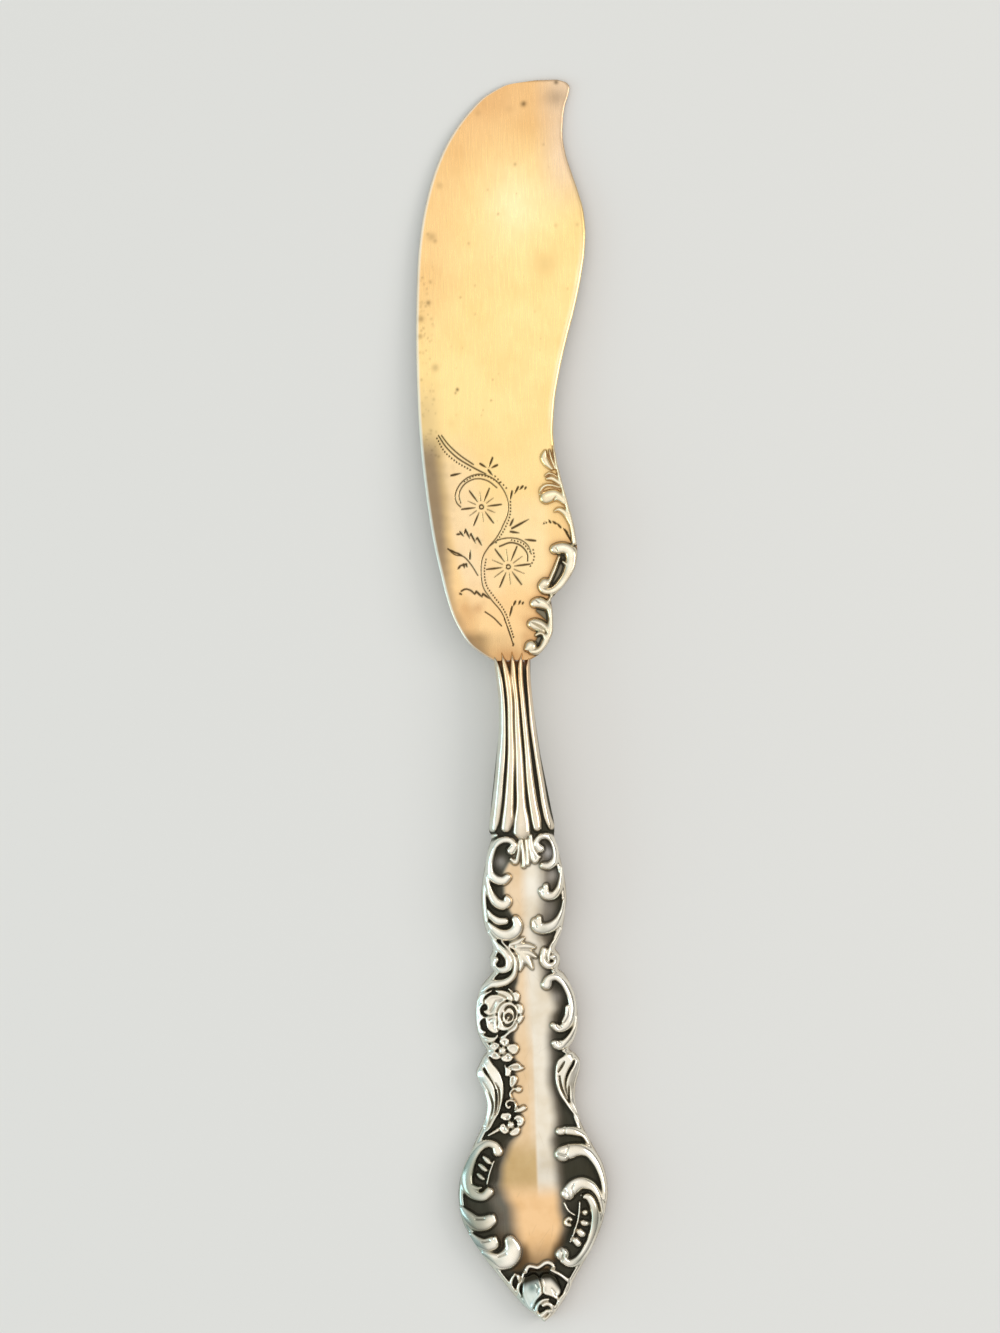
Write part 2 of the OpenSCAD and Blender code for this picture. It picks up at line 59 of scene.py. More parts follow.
# The rim's line in from the edge of the handle, its half width, and where it fades in below the neck
RIM_INSET, RIM_HALF, RIM_HEAD, RIM_FULL = 0.4, 0.46, NECK_FOOT - 0.2, NECK_FOOT - 1.2
# Depth of the engraving on the blade
CUT_DEPTH = 0.16
# Width and floor of the channels that part the petals, and half width and depth of fine lines
CHANNEL, CHANNEL_Z, LINE, LINE_DEPTH = 0.07, 0.1, 0.15, 0.3
# Width of the petals' round rims, how far they reach past their outlines, and how hollow they are
PETAL_RIM, PETAL_GROW, PETAL_HOLLOW, LEAF_HOLLOW = 0.32, 0.16, 0.15, 0.03
# Spacing of the height maps that the ornament is drawn on, and how far they are smoothed
STEP, SMOOTHING = 0.05, 0.085
# Where the engraving ends along the blade, and where the mount's height map begins across it
ENGRAVED_TO, MOUNT_SIDE = 41.5, 1.2
# Half width and spacing of the engraved dots, and half widths of the wedges at head, belly and tail
DOT, DOT_GAP = 0.14, 0.42
WEDGE_HEAD, WEDGE_BELLY, WEDGE_TAIL = 0.15, 0.19, 0.06
# Spacing of the mount's mesh, its width, its gap to the spine and its depth into the blade
MOUNT_GRID, MOUNT_REACH, MOUNT_GAP, MOUNT_ROOT = 0.07, 7.2, 0.04, 0.2
# Dullness of what isn't tinted, and of solder
PLAIN_DULL, SOLDER_DULL = 0.3, 0.5
# Seeds of the specks on the blade and of the scratches on the panel
SPECK_SEED, SCRATCH_SEED = 11, 5

# Outline of the blade from its root to its tip: place, spreading edge, spine
BLADE = [
    (6, -2.9, 2.5), (6.6, -3.9, 3.6), (7.4, -5.1, 4.5), (8.7, -6.6, 5.45), (10.4, -7.7, 6.05),
    (13, -8.9, 6.1), (14.8, -9.45, 5.9), (15.4, -9.6, 6.35), (17, -10, 8), (18.5, -10.3, 9.1),
    (20, -10.6, 9.8), (22, -11, 10.1), (25, -11.5, 9.85), (29, -12, 9), (33, -12.4, 8.05),
    (36, -12.65, 7.45), (39.5, -12.85, 7.1), (44, -12.97, 7.45), (49, -13, 8.4), (54, -12.95, 9.7),
    (59, -12.75, 11.15), (64, -12.45, 12.3), (67, -12.2, 12.8), (70, -11.8, 13), (73, -11.25, 12.8),
    (76, -10.5, 12.1), (79, -9.55, 11.2), (82, -8.3, 10.4), (84.5, -6.95, 10.1), (87, -5.2, 10.25),
    (89, -3.45, 10.6), (90.6, -1.75, 11.15), (91.8, 0.3, 11.4), (92.5, 2, 10.95), (93, 6, 9.6)]
# Outline of the handle from its end to the mouth: place, left edge, right edge
HANDLE = [
    (-93, 0.9, 1.5), (-92.4, 0.15, 2.4), (-91.2, -1.25, 3.4), (-89.5, -2.8, 4.6), (-87.5, -4.35, 5.6),
    (-85, -6.2, 7.1), (-82.5, -7.9, 8.6), (-80, -9.4, 9.85), (-78, -10.4, 10.6), (-76, -10.85, 11.1),
    (-74, -11, 11.4), (-72, -10.8, 11.25), (-70, -10.2, 10.8), (-67.5, -8.95, 9.6), (-65.5, -8, 8.55),
    (-63.5, -7, 7.7), (-62, -6.5, 7.25), (-60.3, -6.3, 6.95), (-58.5, -6.65, 7), (-57, -7.25, 7.35),
    (-55.6, -7.75, 7.75), (-54.4, -7.2, 7.9), (-53.2, -6.6, 7.2), (-52.4, -6, 6.3), (-51, -6.7, 7.1),
    (-49, -7.4, 7.7), (-47, -7.55, 7.75), (-44.8, -7.25, 7.5), (-42.7, -6.5, 6.8), (-41.1, -5.2, 5.95),
    (-40.3, -4.6, 5.1), (-39.4, -5.05, 5.35), (-38.4, -5.1, 5.4), (-37.2, -4.6, 4.75),
    (-36.3, -4.6, 5.05), (-34, -5.55, 6), (-32, -5.95, 6.4), (-29.5, -6.05, 6.7), (-27, -5.8, 6.55),
    (-24, -5.2, 6), (-22, -4.75, 5.6), (-20.3, -4.2, 5.15), (-19.2, -4.5, 5.25), (-16, -4.15, 4.8),
    (-12, -3.6, 4.15), (-8, -3.05, 3.5), (-4, -2.55, 3.05), (0, -2.45, 2.65), (3.5, -2.7, 2.45),
    (6, -2.9, 2.5), (7.4, -2.9, 2.5)]

# Strokes of relief, each a run of points across, along and with the half width there
REEDS = [
    [(-2.85, 6.6, 0.12), (-2.55, 5.2, 0.38), (-2.35, 4, 0.44), (-2.02, 0, 0.48), (-2.08, -4, 0.54),
     (-2.35, -8, 0.6), (-2.8, -12, 0.62), (-3.35, -16, 0.68), (-3.75, -18, 0.68), (-3.95, -18.9, 0.55)],
    [(-1.75, 7.2, 0.1), (-1.35, 5.4, 0.36), (-1.1, 4, 0.42), (-0.75, 0, 0.42), (-0.8, -4, 0.42),
     (-0.85, -8, 0.5), (-1.15, -12, 0.56), (-1.5, -16, 0.68), (-1.75, -18, 0.75), (-2.0, -18.9, 0.66)],
    [(-0.2, 7.3, 0.1), (-0.12, 5.4, 0.36), (-0.1, 4, 0.4), (0.2, 0, 0.36), (0.25, -4, 0.44),
     (0.35, -8, 0.52), (0.38, -12, 0.6), (0.4, -16, 0.72), (0.4, -18, 1.0), (0.35, -19.5, 1.12)],
    [(1.3, 7.05, 0.1), (1.0, 5.4, 0.34), (0.95, 4, 0.36), (1.15, 0, 0.36), (1.4, -4, 0.4),
     (1.65, -8, 0.44), (1.87, -12, 0.55), (2.3, -16, 0.62), (2.6, -18, 0.66), (2.7, -19, 0.58)],
    [(2.3, 6.2, 0.1), (2.1, 5, 0.28), (2.1, 4, 0.3), (2.3, 0, 0.35), (2.55, -4, 0.42), (2.97, -8, 0.4),
     (3.45, -12, 0.43), (3.95, -16, 0.47), (4.4, -18, 0.5), (4.75, -18.9, 0.48)]]
CARTOUCHE = [
    [(-1.35, -22.3, 0.62), (-0.85, -21.6, 0.48), (-1.3, -20.9, 0.48), (-2.5, -20.7, 0.5),
     (-3.6, -21.3, 0.5), (-4.35, -22.7, 0.55), (-4.7, -24.5, 0.55), (-4.5, -25.8, 0.6),
     (-3.7, -26.6, 0.65), (-2.6, -26.75, 0.65), (-2.0, -26.3, 0.55)],
    [(-5.2, -26, 0.25), (-4.9, -27.6, 0.42), (-4.4, -29.1, 0.58), (-3.6, -30.2, 0.7), (-2.7, -30.4, 0.72),
     (-2.1, -29.9, 0.6), (-2.25, -29.4, 0.45)],
    [(-5.15, -31.2, 0.25), (-4.5, -32.2, 0.48), (-3.6, -32.8, 0.58), (-2.6, -32.85, 0.52)],
    [(-5.15, -33.1, 0.25), (-4.4, -34.1, 0.58), (-3.4, -34.8, 0.75), (-2.2, -34.95, 0.82),
     (-1.15, -34.4, 0.82), (-0.75, -33.5, 0.72), (-1.05, -32.6, 0.58)],
    [(3.05, -22.2, 0.58), (2.5, -21.5, 0.45), (2.75, -20.7, 0.45), (3.75, -20.3, 0.48),
     (4.7, -20.75, 0.5), (5.2, -21.8, 0.48), (5.35, -23.1, 0.48), (5.0, -24.2, 0.52), (4.2, -24.8, 0.58),
     (3.35, -24.7, 0.48)],
    [(6.1, -25, 0.2), (5.95, -27, 0.38), (5.5, -28.4, 0.5), (4.6, -29.3, 0.62), (3.6, -29.1, 0.68),
     (3.05, -28.5, 0.48)],
    [(3.65, -28.7, 0.5), (3.7, -27.8, 0.42)],
    [(6.3, -30, 0.2), (6, -31.7, 0.42), (5.35, -33, 0.58), (4.3, -33.9, 0.72), (3.1, -34.15, 0.8),
     (2.15, -33.75, 0.82), (1.9, -33.1, 0.6)],
    [(2.5, -33.4, 0.5), (2.5, -32.5, 0.42)]]
SEPALS = [
    [(0.25, -20.8, 0.25), (0.45, -22.8, 0.27), (0.5, -24.7, 0.32)],
    [(0.95, -20.8, 0.22), (1.08, -22.8, 0.24), (1.12, -24.4, 0.28)],
    [(-0.05, -20.9, 0.22), (-0.3, -22.8, 0.24), (-0.8, -24.1, 0.34), (-1.4, -23.6, 0.26)],
    [(1.45, -20.7, 0.22), (1.6, -22.4, 0.24), (2.2, -24.0, 0.36), (2.9, -23.4, 0.22)],
    [(1.65, -20.2, 0.28), (1.9, -22.2, 0.26), (2.5, -23.3, 0.32)],
    [(-4.05, -20.15, 0.28), (-3.4, -19.95, 0.2)]]
CURLS = [
    [(-5.2, -34.5, 0.3), (-4.55, -35.8, 0.42), (-3.7, -36.8, 0.5), (-2.7, -37.8, 0.55), (-2.2, -39, 0.58),
     (-2.5, -39.9, 0.55), (-3.4, -40.2, 0.5), (-4.3, -39.9, 0.45), (-4.6, -39.2, 0.42),
     (-4.2, -38.6, 0.48)],
    [(-3.2, -35.9, 0.15), (-1.95, -37.4, 0.22), (-1.35, -38.6, 0.26), (-1.3, -40, 0.34),
     (-1.7, -41.1, 0.45), (-2.7, -41.9, 0.52), (-4, -42.2, 0.56), (-5.2, -42.3, 0.52),
     (-6.1, -42.9, 0.45), (-6.7, -44.3, 0.4)],
    [(5.8, -34.3, 0.25), (5.2, -35.6, 0.38), (4.35, -36.8, 0.42), (3.75, -38, 0.3), (3.75, -38.9, 0.22)],
    [(3.12, -37.35, 0.46), (2.88, -38.3, 0.5), (2.98, -39.2, 0.52), (3.55, -39.75, 0.52),
     (4.4, -39.7, 0.5), (4.95, -39.05, 0.46), (4.8, -38.4, 0.46), (4.38, -38.5, 0.42)]]
SPRIG = [
    [(-2, -36.35, 0.18), (-0.9, -36.1, 0.32), (0.05, -35.5, 0.16)],
    [(-2.1, -36.6, 0.14), (-1.2, -37.1, 0.2), (-0.9, -37.3, 0.3)],
    [(-1, -36.75, 0.24), (0.4, -36.65, 0.34), (1.6, -36.9, 0.2)],
    [(-0.8, -37.4, 0.42), (-0.1, -38, 0.52), (0.6, -38.9, 0.4), (1.25, -40.1, 0.14)],
    [(-0.1, -37.6, 0.4), (0.8, -37.7, 0.38), (1.8, -38.35, 0.18)],
    [(-0.5, -38.3, 0.4), (-0.35, -39.2, 0.34), (-0.65, -40.3, 0.14)]]
ROSE_SCROLLS = [
    [(3.3, -42.55, 0.75), (3.6, -41.8, 0.6), (4.6, -41.45, 0.55), (5.7, -42.1, 0.6), (6.55, -43.5, 0.62),
     (7, -45.2, 0.6), (7.05, -46.8, 0.58), (6.65, -48.1, 0.62), (5.8, -49, 0.62), (4.8, -49.2, 0.58),
     (4.1, -48.7, 0.46)],
    [(6.2, -46, 0.3), (6.15, -47.2, 0.4), (5.6, -48.2, 0.34)],
    [(7.6, -47.5, 0.15), (7.25, -49.4, 0.38), (6.45, -50.9, 0.6), (5.5, -51.7, 0.7), (4.6, -51.7, 0.68),
     (4.2, -51.4, 0.5)]]
TENDRIL = [
    [(-2.45, -42.95, 0.1), (-2.1, -43.3, 0.15), (-1.8, -43.65, 0.15)],
    [(-1.85, -57.95, 0.12), (-2.45, -58.2, 0.16), (-2.75, -58.75, 0.15), (-2.58, -59.35, 0.15),
     (-2.1, -60.05, 0.16), (-1.92, -60.6, 0.18), (-2.0, -61.15, 0.2)],
    [(-2.25, -59.85, 0.15), (-2.9, -59.72, 0.17), (-3.37, -60.12, 0.17), (-3.3, -60.65, 0.17),
     (-2.98, -60.85, 0.17), (-2.8, -60.6, 0.12)],
    [(-4.4, -63.95, 0.24), (-5.3, -64.4, 0.2), (-6.2, -64.9, 0.12)]]
TIP_ROSE_RIM = [
    [(-1.3, -85.5, 0.26), (-1.15, -85.0, 0.28), (-0.8, -84.62, 0.25), (-0.25, -84.68, 0.24),
     (0.5, -84.85, 0.25), (1.05, -84.58, 0.25), (1.6, -84.22, 0.27), (2.15, -84.15, 0.28),
     (2.65, -84.45, 0.26), (2.95, -84.95, 0.2)],
    [(2.5, -85.3, 0.2), (3.05, -85.58, 0.23), (3.8, -86.03, 0.22), (4.6, -86.7, 0.24),
     (5.2, -87.35, 0.26), (5.15, -88, 0.24), (4.7, -88.85, 0.24), (4.05, -89.45, 0.24),
     (3.5, -89.95, 0.22), (3.25, -90.5, 0.2)],
    [(-1.64, -85.64, 0.18), (-1.97, -86.6, 0.22), (-2.43, -87.4, 0.22), (-2.6, -88.2, 0.22),
     (-2.3, -89.2, 0.22)],
    [(-2.95, -85.75, 0.16), (-3.45, -86.5, 0.2), (-3.6, -87.5, 0.22), (-3.3, -88.1, 0.22)],
    [(-2.5, -86, 0.22), (-2.42, -86.5, 0.22)],
    [(0.1, -91.8, 0.24), (0.14, -90.85, 0.24), (0.62, -90.15, 0.22), (1.25, -89.78, 0.2),
     (1.95, -89.68, 0.14)],
    [(1.1, -90.6, 0.2), (1.5, -90.38, 0.24), (1.95, -90.38, 0.25), (2.4, -90.75, 0.25),
     (2.65, -91.3, 0.22)],
    [(0.7, -92.2, 0.36), (1.2, -91.85, 0.28), (1.65, -91.48, 0.24), (2.1, -91.5, 0.2)]]
HEAD_LEFT = [
    [(-4.85, -67.3, 0.88), (-5.2, -66.5, 0.75), (-6.2, -66.1, 0.66), (-7.5, -66.6, 0.7),
     (-8.6, -67.9, 0.8), (-9.35, -69.5, 0.95), (-9.7, -71.3, 1.0), (-9.35, -72.9, 0.98),
     (-8.4, -73.8, 0.86), (-7.3, -74.0, 0.78), (-6.4, -73.3, 0.82)],
    [(-9, -72.4, 0.5), (-8.2, -72.7, 0.42), (-7.5, -72.6, 0.22)],
    [(-5.5, -68.7, 0.16), (-6.15, -70.3, 0.2), (-6.65, -72.1, 0.2)],
    [(-7.0, -68.1, 0.34), (-6.5, -68.6, 0.5), (-6.2, -68.9, 0.4)],
    [(-7.7, -69.2, 0.32), (-7.2, -69.7, 0.48), (-6.8, -70.0, 0.4)],
    [(-8.0, -70.6, 0.3), (-7.6, -71.0, 0.46), (-7.2, -71.3, 0.36)],
    [(-10.6, -75.7, 0.5), (-9.6, -77.1, 1.08), (-8.4, -78.0, 1.24), (-7.1, -77.95, 1.2),
     (-6.35, -77.6, 1.05)],
    [(-5.95, -76.95, 0.45), (-5.8, -77.7, 0.5)],
    [(-9.4, -79.7, 0.5), (-8.4, -80.9, 1.0), (-7.2, -81.35, 1.1), (-6.2, -81.05, 1.12)],
    [(-5.75, -80.25, 0.42), (-5.6, -80.95, 0.46)],
    [(-7.7, -82.5, 0.45), (-6.5, -83.3, 0.95), (-5.1, -83.8, 1.3), (-3.8, -83.3, 1.5),
     (-3.1, -82.1, 1.35), (-3.5, -80.7, 0.95)]]
HEAD_RIGHT = [
    [(4.5, -64.6, 0.68), (5.5, -64.55, 0.72), (6.9, -64.8, 0.68), (8, -65.3, 0.5), (8.8, -66.6, 0.3)],
    [(4.85, -68.0, 1.25), (5.9, -67.7, 1.2), (7.2, -67.5, 1.0), (8.6, -67.9, 0.85), (9.7, -69.2, 0.75),
     (10.45, -71, 0.62), (10.85, -73, 0.5), (10.9, -75, 0.4)],
    [(5.45, -73.9, 1.1), (6.4, -72.9, 1.1), (7.5, -72.45, 0.98), (8.7, -72.85, 0.85), (9.65, -73.9, 0.7),
     (10.3, -75.5, 0.5), (10.55, -77, 0.35)],
    [(7.6, -74.4, 0.42), (8.4, -74.6, 0.62), (9.1, -75.6, 0.76), (9.45, -77.2, 0.8), (9.22, -79.3, 0.76),
     (8.5, -81.3, 0.7), (7.5, -83, 0.72), (6.45, -84.05, 0.72), (5.3, -84.4, 0.7), (4.5, -83.9, 0.7)],
    [(4.25, -83, 1.08)],
    [(7.1, -75.3, 0.17), (6.9, -77.3, 0.2), (6.3, -79.3, 0.2), (5.5, -81.2, 0.16)],
    [(4.8, -75.3, 0.17), (5.4, -76.5, 0.2), (6.3, -77.2, 0.17)],
    [(5.75, -77.85, 0.32), (5.4, -77.6, 0.32), (5.0, -77.9, 0.34), (5.0, -78.5, 0.36),
     (5.5, -78.65, 0.38)]]
LEAFLETS = [
    [(7.85, -76.9, 0.42)], [(7.5, -78.4, 0.4), (7.95, -78.55, 0.4)],
    [(6.95, -79.75, 0.46), (7.35, -80.1, 0.46)], [(6.3, -81.05, 0.46), (6.65, -81.5, 0.48)]]
# Leaves at the waist as closed outlines, each over the ones before it
LEAVES = [
    [(-7, -54.4), (-7.45, -55.1), (-7.6, -55.8), (-7.4, -56.6), (-6.95, -57.7), (-6.5, -58.9),
     (-6.25, -60), (-6.3, -61.2), (-6.6, -62.5), (-7, -63.6), (-6.3, -63.7), (-5.6, -62.3), (-5.15, -61),
     (-4.95, -59.7), (-4.95, -58.6), (-5.25, -57.5), (-5.78, -56.5), (-6.45, -55.6)],
    [(-6.1, -52.9), (-6.5, -53.45), (-6.65, -54.1), (-6.25, -54.9), (-5.75, -55.9), (-5.2, -56.85),
     (-4.85, -57.7), (-4.7, -58.8), (-4.75, -60.1), (-5.1, -61.7), (-5.8, -63.1), (-6.5, -64.3),
     (-6, -63.9), (-5.3, -62.8), (-4.65, -61.7), (-4.1, -60.2), (-3.8, -58.9), (-3.72, -57.5),
     (-3.95, -56.35), (-4.5, -55.1), (-5.3, -54.1), (-5.75, -53.4)],
    [(6.8, -52.9), (6.15, -53.05), (5.35, -53.5), (4.65, -53.95), (4.35, -54.65), (4.2, -55.6),
     (4.15, -56.7), (4.3, -57.8), (4.7, -59.1), (5.35, -60.2), (6, -61.2), (6.85, -62.4), (7.5, -63.6),
     (7.3, -62.4), (6.8, -61.1), (6.15, -60.3), (5.65, -59.2), (5.45, -58), (5.55, -56.7), (6.02, -55.5),
     (6.67, -54.4), (7, -53.5)],
    [(7.3, -53.75), (7.7, -54.2), (7.8, -54.9), (7.55, -55.9), (7.15, -57.1), (6.9, -58.4), (6.85, -59.8),
     (7.05, -61), (7.4, -62.3), (6.8, -61.4), (6.3, -60.3), (5.9, -58.95), (5.75, -57.8), (5.95, -56.7),
     (6.4, -55.75), (7, -54.8), (7.2, -54.15)]]
# Petals of the flowers as closed outlines, each over the ones before it
PETALS = [
    [(-7.2, -44.6), (-6.55, -43.7), (-5.55, -43.45), (-4.95, -43.2), (-6.1, -44.1), (-6.3, -44.6),
     (-6.05, -45), (-6.5, -45.4), (-6.85, -46.1), (-6.7, -46.7), (-6.25, -47.2), (-6.8, -47.7),
     (-6.95, -48.4), (-6.7, -49), (-6.05, -49.45), (-6.9, -49.7), (-7.3, -48.6), (-7.4, -47),
     (-7.35, -45.6)],
    [(-6.8, -49.85), (-6.1, -50.05), (-5.4, -50.25), (-4.7, -50.2), (-4.25, -49.85), (-4.45, -50.35),
     (-4.95, -50.8), (-5.6, -50.95), (-6.4, -50.6)],
    [(-4.45, -43.2), (-3.5, -43.22), (-2.6, -43.5), (-2.0, -44.05), (-1.75, -44.75), (-2.6, -44.6),
     (-3.2, -44.2), (-3.8, -43.75)],
    [(-1.9, -43.65), (-1.3, -43.5), (-0.9, -43.95), (-0.9, -44.45), (-1.2, -44.9), (-1.5, -44.85),
     (-1.6, -44.3)],
    [(-1.4, -45.35), (-0.8, -45.35), (-0.42, -45.95), (-0.48, -46.65), (-0.8, -46.95), (-1.1, -46.6),
     (-1.15, -46)],
    [(-0.75, -46.95), (-0.4, -47.15), (-0.6, -47.75), (-1.05, -48.2), (-1.35, -48), (-1.15, -47.4)],
    [(-1.7, -47.95), (-1.4, -48.1), (-1.3, -48.65), (-1.65, -49.2), (-2.25, -49.5), (-3.3, -50.25),
     (-4, -50.4), (-2.8, -49.5), (-2.3, -48.9)],
    [(-6, -44.55), (-5.2, -43.95), (-4, -43.9), (-3.35, -44.15), (-2.85, -44.5), (-3.5, -45.1),
     (-3.9, -45.7), (-4.05, -46.2), (-4.5, -46.65), (-5.15, -46.9), (-5.9, -46.65), (-6.25, -46.3),
     (-5.7, -46), (-5.65, -45.5), (-6.05, -45.05)],
    [(-6.05, -47.15), (-5.2, -47.1), (-4.5, -46.9), (-4.3, -47.5), (-4.4, -48.2), (-4.4, -48.8),
     (-4.15, -49.3), (-4.7, -49.55), (-5.3, -49.3), (-5.75, -48.8), (-5.9, -47.95)],
    [(-4.15, -46.5), (-3.8, -45.7), (-3.1, -45.12), (-2.25, -45.02), (-1.55, -45.5), (-1.22, -46.3),
     (-1.35, -47.15), (-1.6, -47.9), (-2.2, -48.7), (-2.9, -49.12), (-3.75, -49.15), (-4.2, -48.8),
     (-4.1, -48.1), (-4.15, -47.3)],
    [(-4.05, -50.9), (-3.9, -50.55), (-3.2, -50.4), (-2.7, -50.6), (-2.65, -51.05), (-3, -51.4),
     (-3.35, -51.6), (-3.75, -51.3)],
    [(-2.95, -51.65), (-2.25, -51.3), (-1.55, -51.4), (-1.25, -51.85), (-1.45, -52.5), (-1.9, -52.8),
     (-2.45, -52.5), (-2.9, -52.05)],
    [(-3.5, -52.95), (-3.05, -52.6), (-2.45, -52.9), (-2.15, -53.3), (-2.5, -53.8), (-3.2, -53.9),
     (-3.75, -53.7), (-3.85, -53.25)],
    [(-5.65, -52.75), (-5.35, -52.4), (-4.6, -52.5), (-4.05, -52.9), (-4.15, -53.4), (-4.75, -53.5),
     (-5.35, -53.2)],
    [(-5.55, -51.45), (-5.2, -51.2), (-4.45, -51.1), (-4.1, -51.45), (-4.35, -51.85), (-5, -52.2),
     (-5.5, -51.9)],
    [(-2.85, -54.65), (-2.1, -54.25), (-1.35, -54.2), (-0.95, -54.65), (-0.55, -54.9), (-1.2, -55.25),
     (-2, -55.3), (-2.45, -55.1)],
    [(-3.4, -54.4), (-3.2, -54.75), (-2.85, -54.85), (-2.5, -55.45), (-2.65, -55.85), (-3.05, -56.1),
     (-3.3, -56), (-3.3, -55.4)],
    [(-2.65, -56.25), (-2.25, -56.05), (-1.8, -56.15), (-1.6, -56.6), (-1.85, -57.15), (-2.25, -57.6),
     (-2.55, -57.75), (-2.7, -57.15)],
    [(-1.95, -57.95), (-1.45, -57.75), (-1, -57.95), (-1.1, -58.35), (-1.45, -58.5), (-1.85, -58.3)],
    [(-2.25, -61.5), (-1.85, -61.1), (-1.3, -60.85), (-0.75, -60.6), (-0.4, -60.95), (-0.95, -61.35),
     (-1.6, -61.5)],
    [(-4.3, -62.3), (-4.1, -61.75), (-3.45, -61.6), (-2.75, -61.8), (-2.7, -62.2), (-3.05, -62.6),
     (-3.65, -62.65)],
    [(-2.3, -62.55), (-2.1, -62.15), (-1.65, -62), (-1.15, -62.15), (-0.85, -62.7), (-1, -63.3),
     (-1.45, -63.6), (-1.85, -63.4), (-1.75, -62.95)],
    [(-4.5, -63.8), (-4.3, -63.35), (-3.85, -63.2), (-3.6, -63.65), (-3.1, -64.05), (-3.25, -64.45),
     (-3.7, -64.7), (-4.2, -64.45)],
    [(-3.05, -64.7), (-2.7, -64.25), (-2.1, -63.85), (-1.65, -63.8), (-1.5, -64.2), (-1.65, -64.65),
     (-2.2, -64.95), (-2.8, -64.95)],
    [(-1.8, -87.4), (-1.5, -86.5), (-0.8, -86.0), (0, -85.8), (0.5, -86.2), (0.85, -87.1), (1.05, -87.9),
     (1.12, -88.6), (0.65, -89.15), (0.05, -89.8), (-0.4, -90.7), (-0.65, -91.35), (-1.2, -90.75),
     (-1.6, -89.9), (-1.88, -88.6)],
    [(0.8, -86.4), (1.2, -85.9), (2.1, -85.8), (3, -86.3), (3.5, -87.3), (3.8, -88.4), (3.6, -88.95),
     (3.3, -89.3), (3.4, -89.85), (2.75, -89.4), (2, -89.05), (1.3, -88.8), (1.2, -87.8), (1.02, -87)]]
# Fine lines cut into leaflets, petals and the ends of scrolls
GROOVES = [
    [(-2.5, -54.75), (-1.3, -54.75)], [(-2.5, -57.3), (-2.2, -56.2)], [(-4.75, -51.3), (-4.45, -51.55)],
    [(-5, -52.85), (-4.65, -52.85)], [(-3, -53), (-2.85, -53.3)], [(-3.3, -50.95), (-3.25, -51.3)],
    [(-3.5, -62.45), (-3.1, -62.2)], [(-2.1, -62.7), (-1.65, -62.65), (-1.5, -63)],
    [(-3.9, -63.6), (-3.7, -64)], [(4.5, -51.3), (4.9, -51.7)], [(4.9, -51.1), (5.2, -51.5)],
    [(4.6, -48.8), (5, -49.2)], [(5, -48.6), (5.3, -49)],
    [(5.75, -66.8), (5.5, -67.5), (5.45, -68.3), (5.8, -69.1)], [(4.1, -67.9), (5.4, -68.3)],
    [(6.3, -72.5), (6.1, -73.3), (6.5, -74.4)], [(5, -73.3), (5.7, -74.7)], [(5.3, -64.1), (5.25, -65.2)],
    [(4.1, -82.1), (4.4, -83), (4.2, -83.9)], [(-8.5, -77.3), (-7.3, -77.3)],
    [(-7.7, -80.8), (-6.6, -80.6)], [(-5.3, -83), (-4.2, -82.6)], [(2.9, -28.2), (3.2, -29)],
    [(1.7, -33), (2.1, -33.8)]]
# Folds, then deeper channels, cut into the ornament, with the half width at each point
FOLDS = [
    [(-4.35, -44.7, 0.1), (-4.65, -45.3, 0.24), (-5.0, -46, 0.22), (-5.3, -46.4, 0.1)],
    [(-3.3, -44.6, 0.1), (-3.9, -44.75, 0.16), (-4.4, -44.7, 0.08)],
    [(-5.0, -47.4, 0.1), (-5.4, -47.7, 0.16), (-5.2, -48.05, 0.16), (-4.85, -48.2, 0.16),
     (-4.9, -48.6, 0.12)],
    [(0.1, -87.2, 0.1), (0.45, -88.0, 0.24), (0.3, -88.8, 0.1)],
    [(2.5, -88.0, 0.08), (2.85, -88.6, 0.2), (3.2, -89.3, 0.12)]]
WHORLS = [
    [(-1.85, -47.75, 0.1), (-1.6, -47.25, 0.2), (-1.55, -46.65, 0.24), (-1.8, -46.0, 0.25),
     (-2.3, -45.66, 0.21), (-2.8, -45.8, 0.17), (-3.1, -46.25, 0.1)],
    [(-3.4, -48.0, 0.12), (-3.15, -48.4, 0.2), (-2.65, -48.5, 0.24), (-2.2, -48.25, 0.2),
     (-1.9, -47.85, 0.1)],
    [(-2.98, -47.5, 0.12), (-2.95, -47.05, 0.17), (-2.65, -46.8, 0.2), (-2.25, -46.9, 0.22),
     (-2.1, -47.3, 0.2), (-2.3, -47.65, 0.15), (-2.65, -47.75, 0.1)],
    [(-3.45, -46.6, 0.08), (-3.6, -47.2, 0.14), (-3.5, -47.8, 0.08)],
    [(7.25, -75, 0.2), (7.65, -74.0, 0.28), (8.5, -73.72, 0.28), (9.3, -74.4, 0.26), (9.8, -75.5, 0.2),
     (10.1, -76.8, 0.12)],
    [(-6.65, -57, 0.1), (-6.18, -57.9, 0.17), (-5.65, -59.2, 0.18), (-5.4, -60.3, 0.18),
     (-5.47, -61.25, 0.17), (-5.78, -62.2, 0.15), (-6.16, -63.3, 0.1)],
    [(-4.85, -58.2, 0.15), (-4.72, -59.4, 0.16), (-4.8, -60.6, 0.15), (-5.1, -61.9, 0.1)],
    [(-4.85, -57.1, 0.08), (-4.42, -58, 0.15), (-4.36, -59.2, 0.15), (-4.5, -60.5, 0.13),
     (-4.8, -61.6, 0.08)],
    [(4.6, -55.7, 0.12), (5.1, -54.95, 0.17), (5.55, -54.25, 0.1)],
    [(6.1, -58, 0.1), (6.05, -59.1, 0.17), (6.1, -60.2, 0.1)],
    [(4.75, -56.4, 0.12), (4.95, -58, 0.18), (5.38, -59.1, 0.17), (6.05, -60.4, 0.1)]]
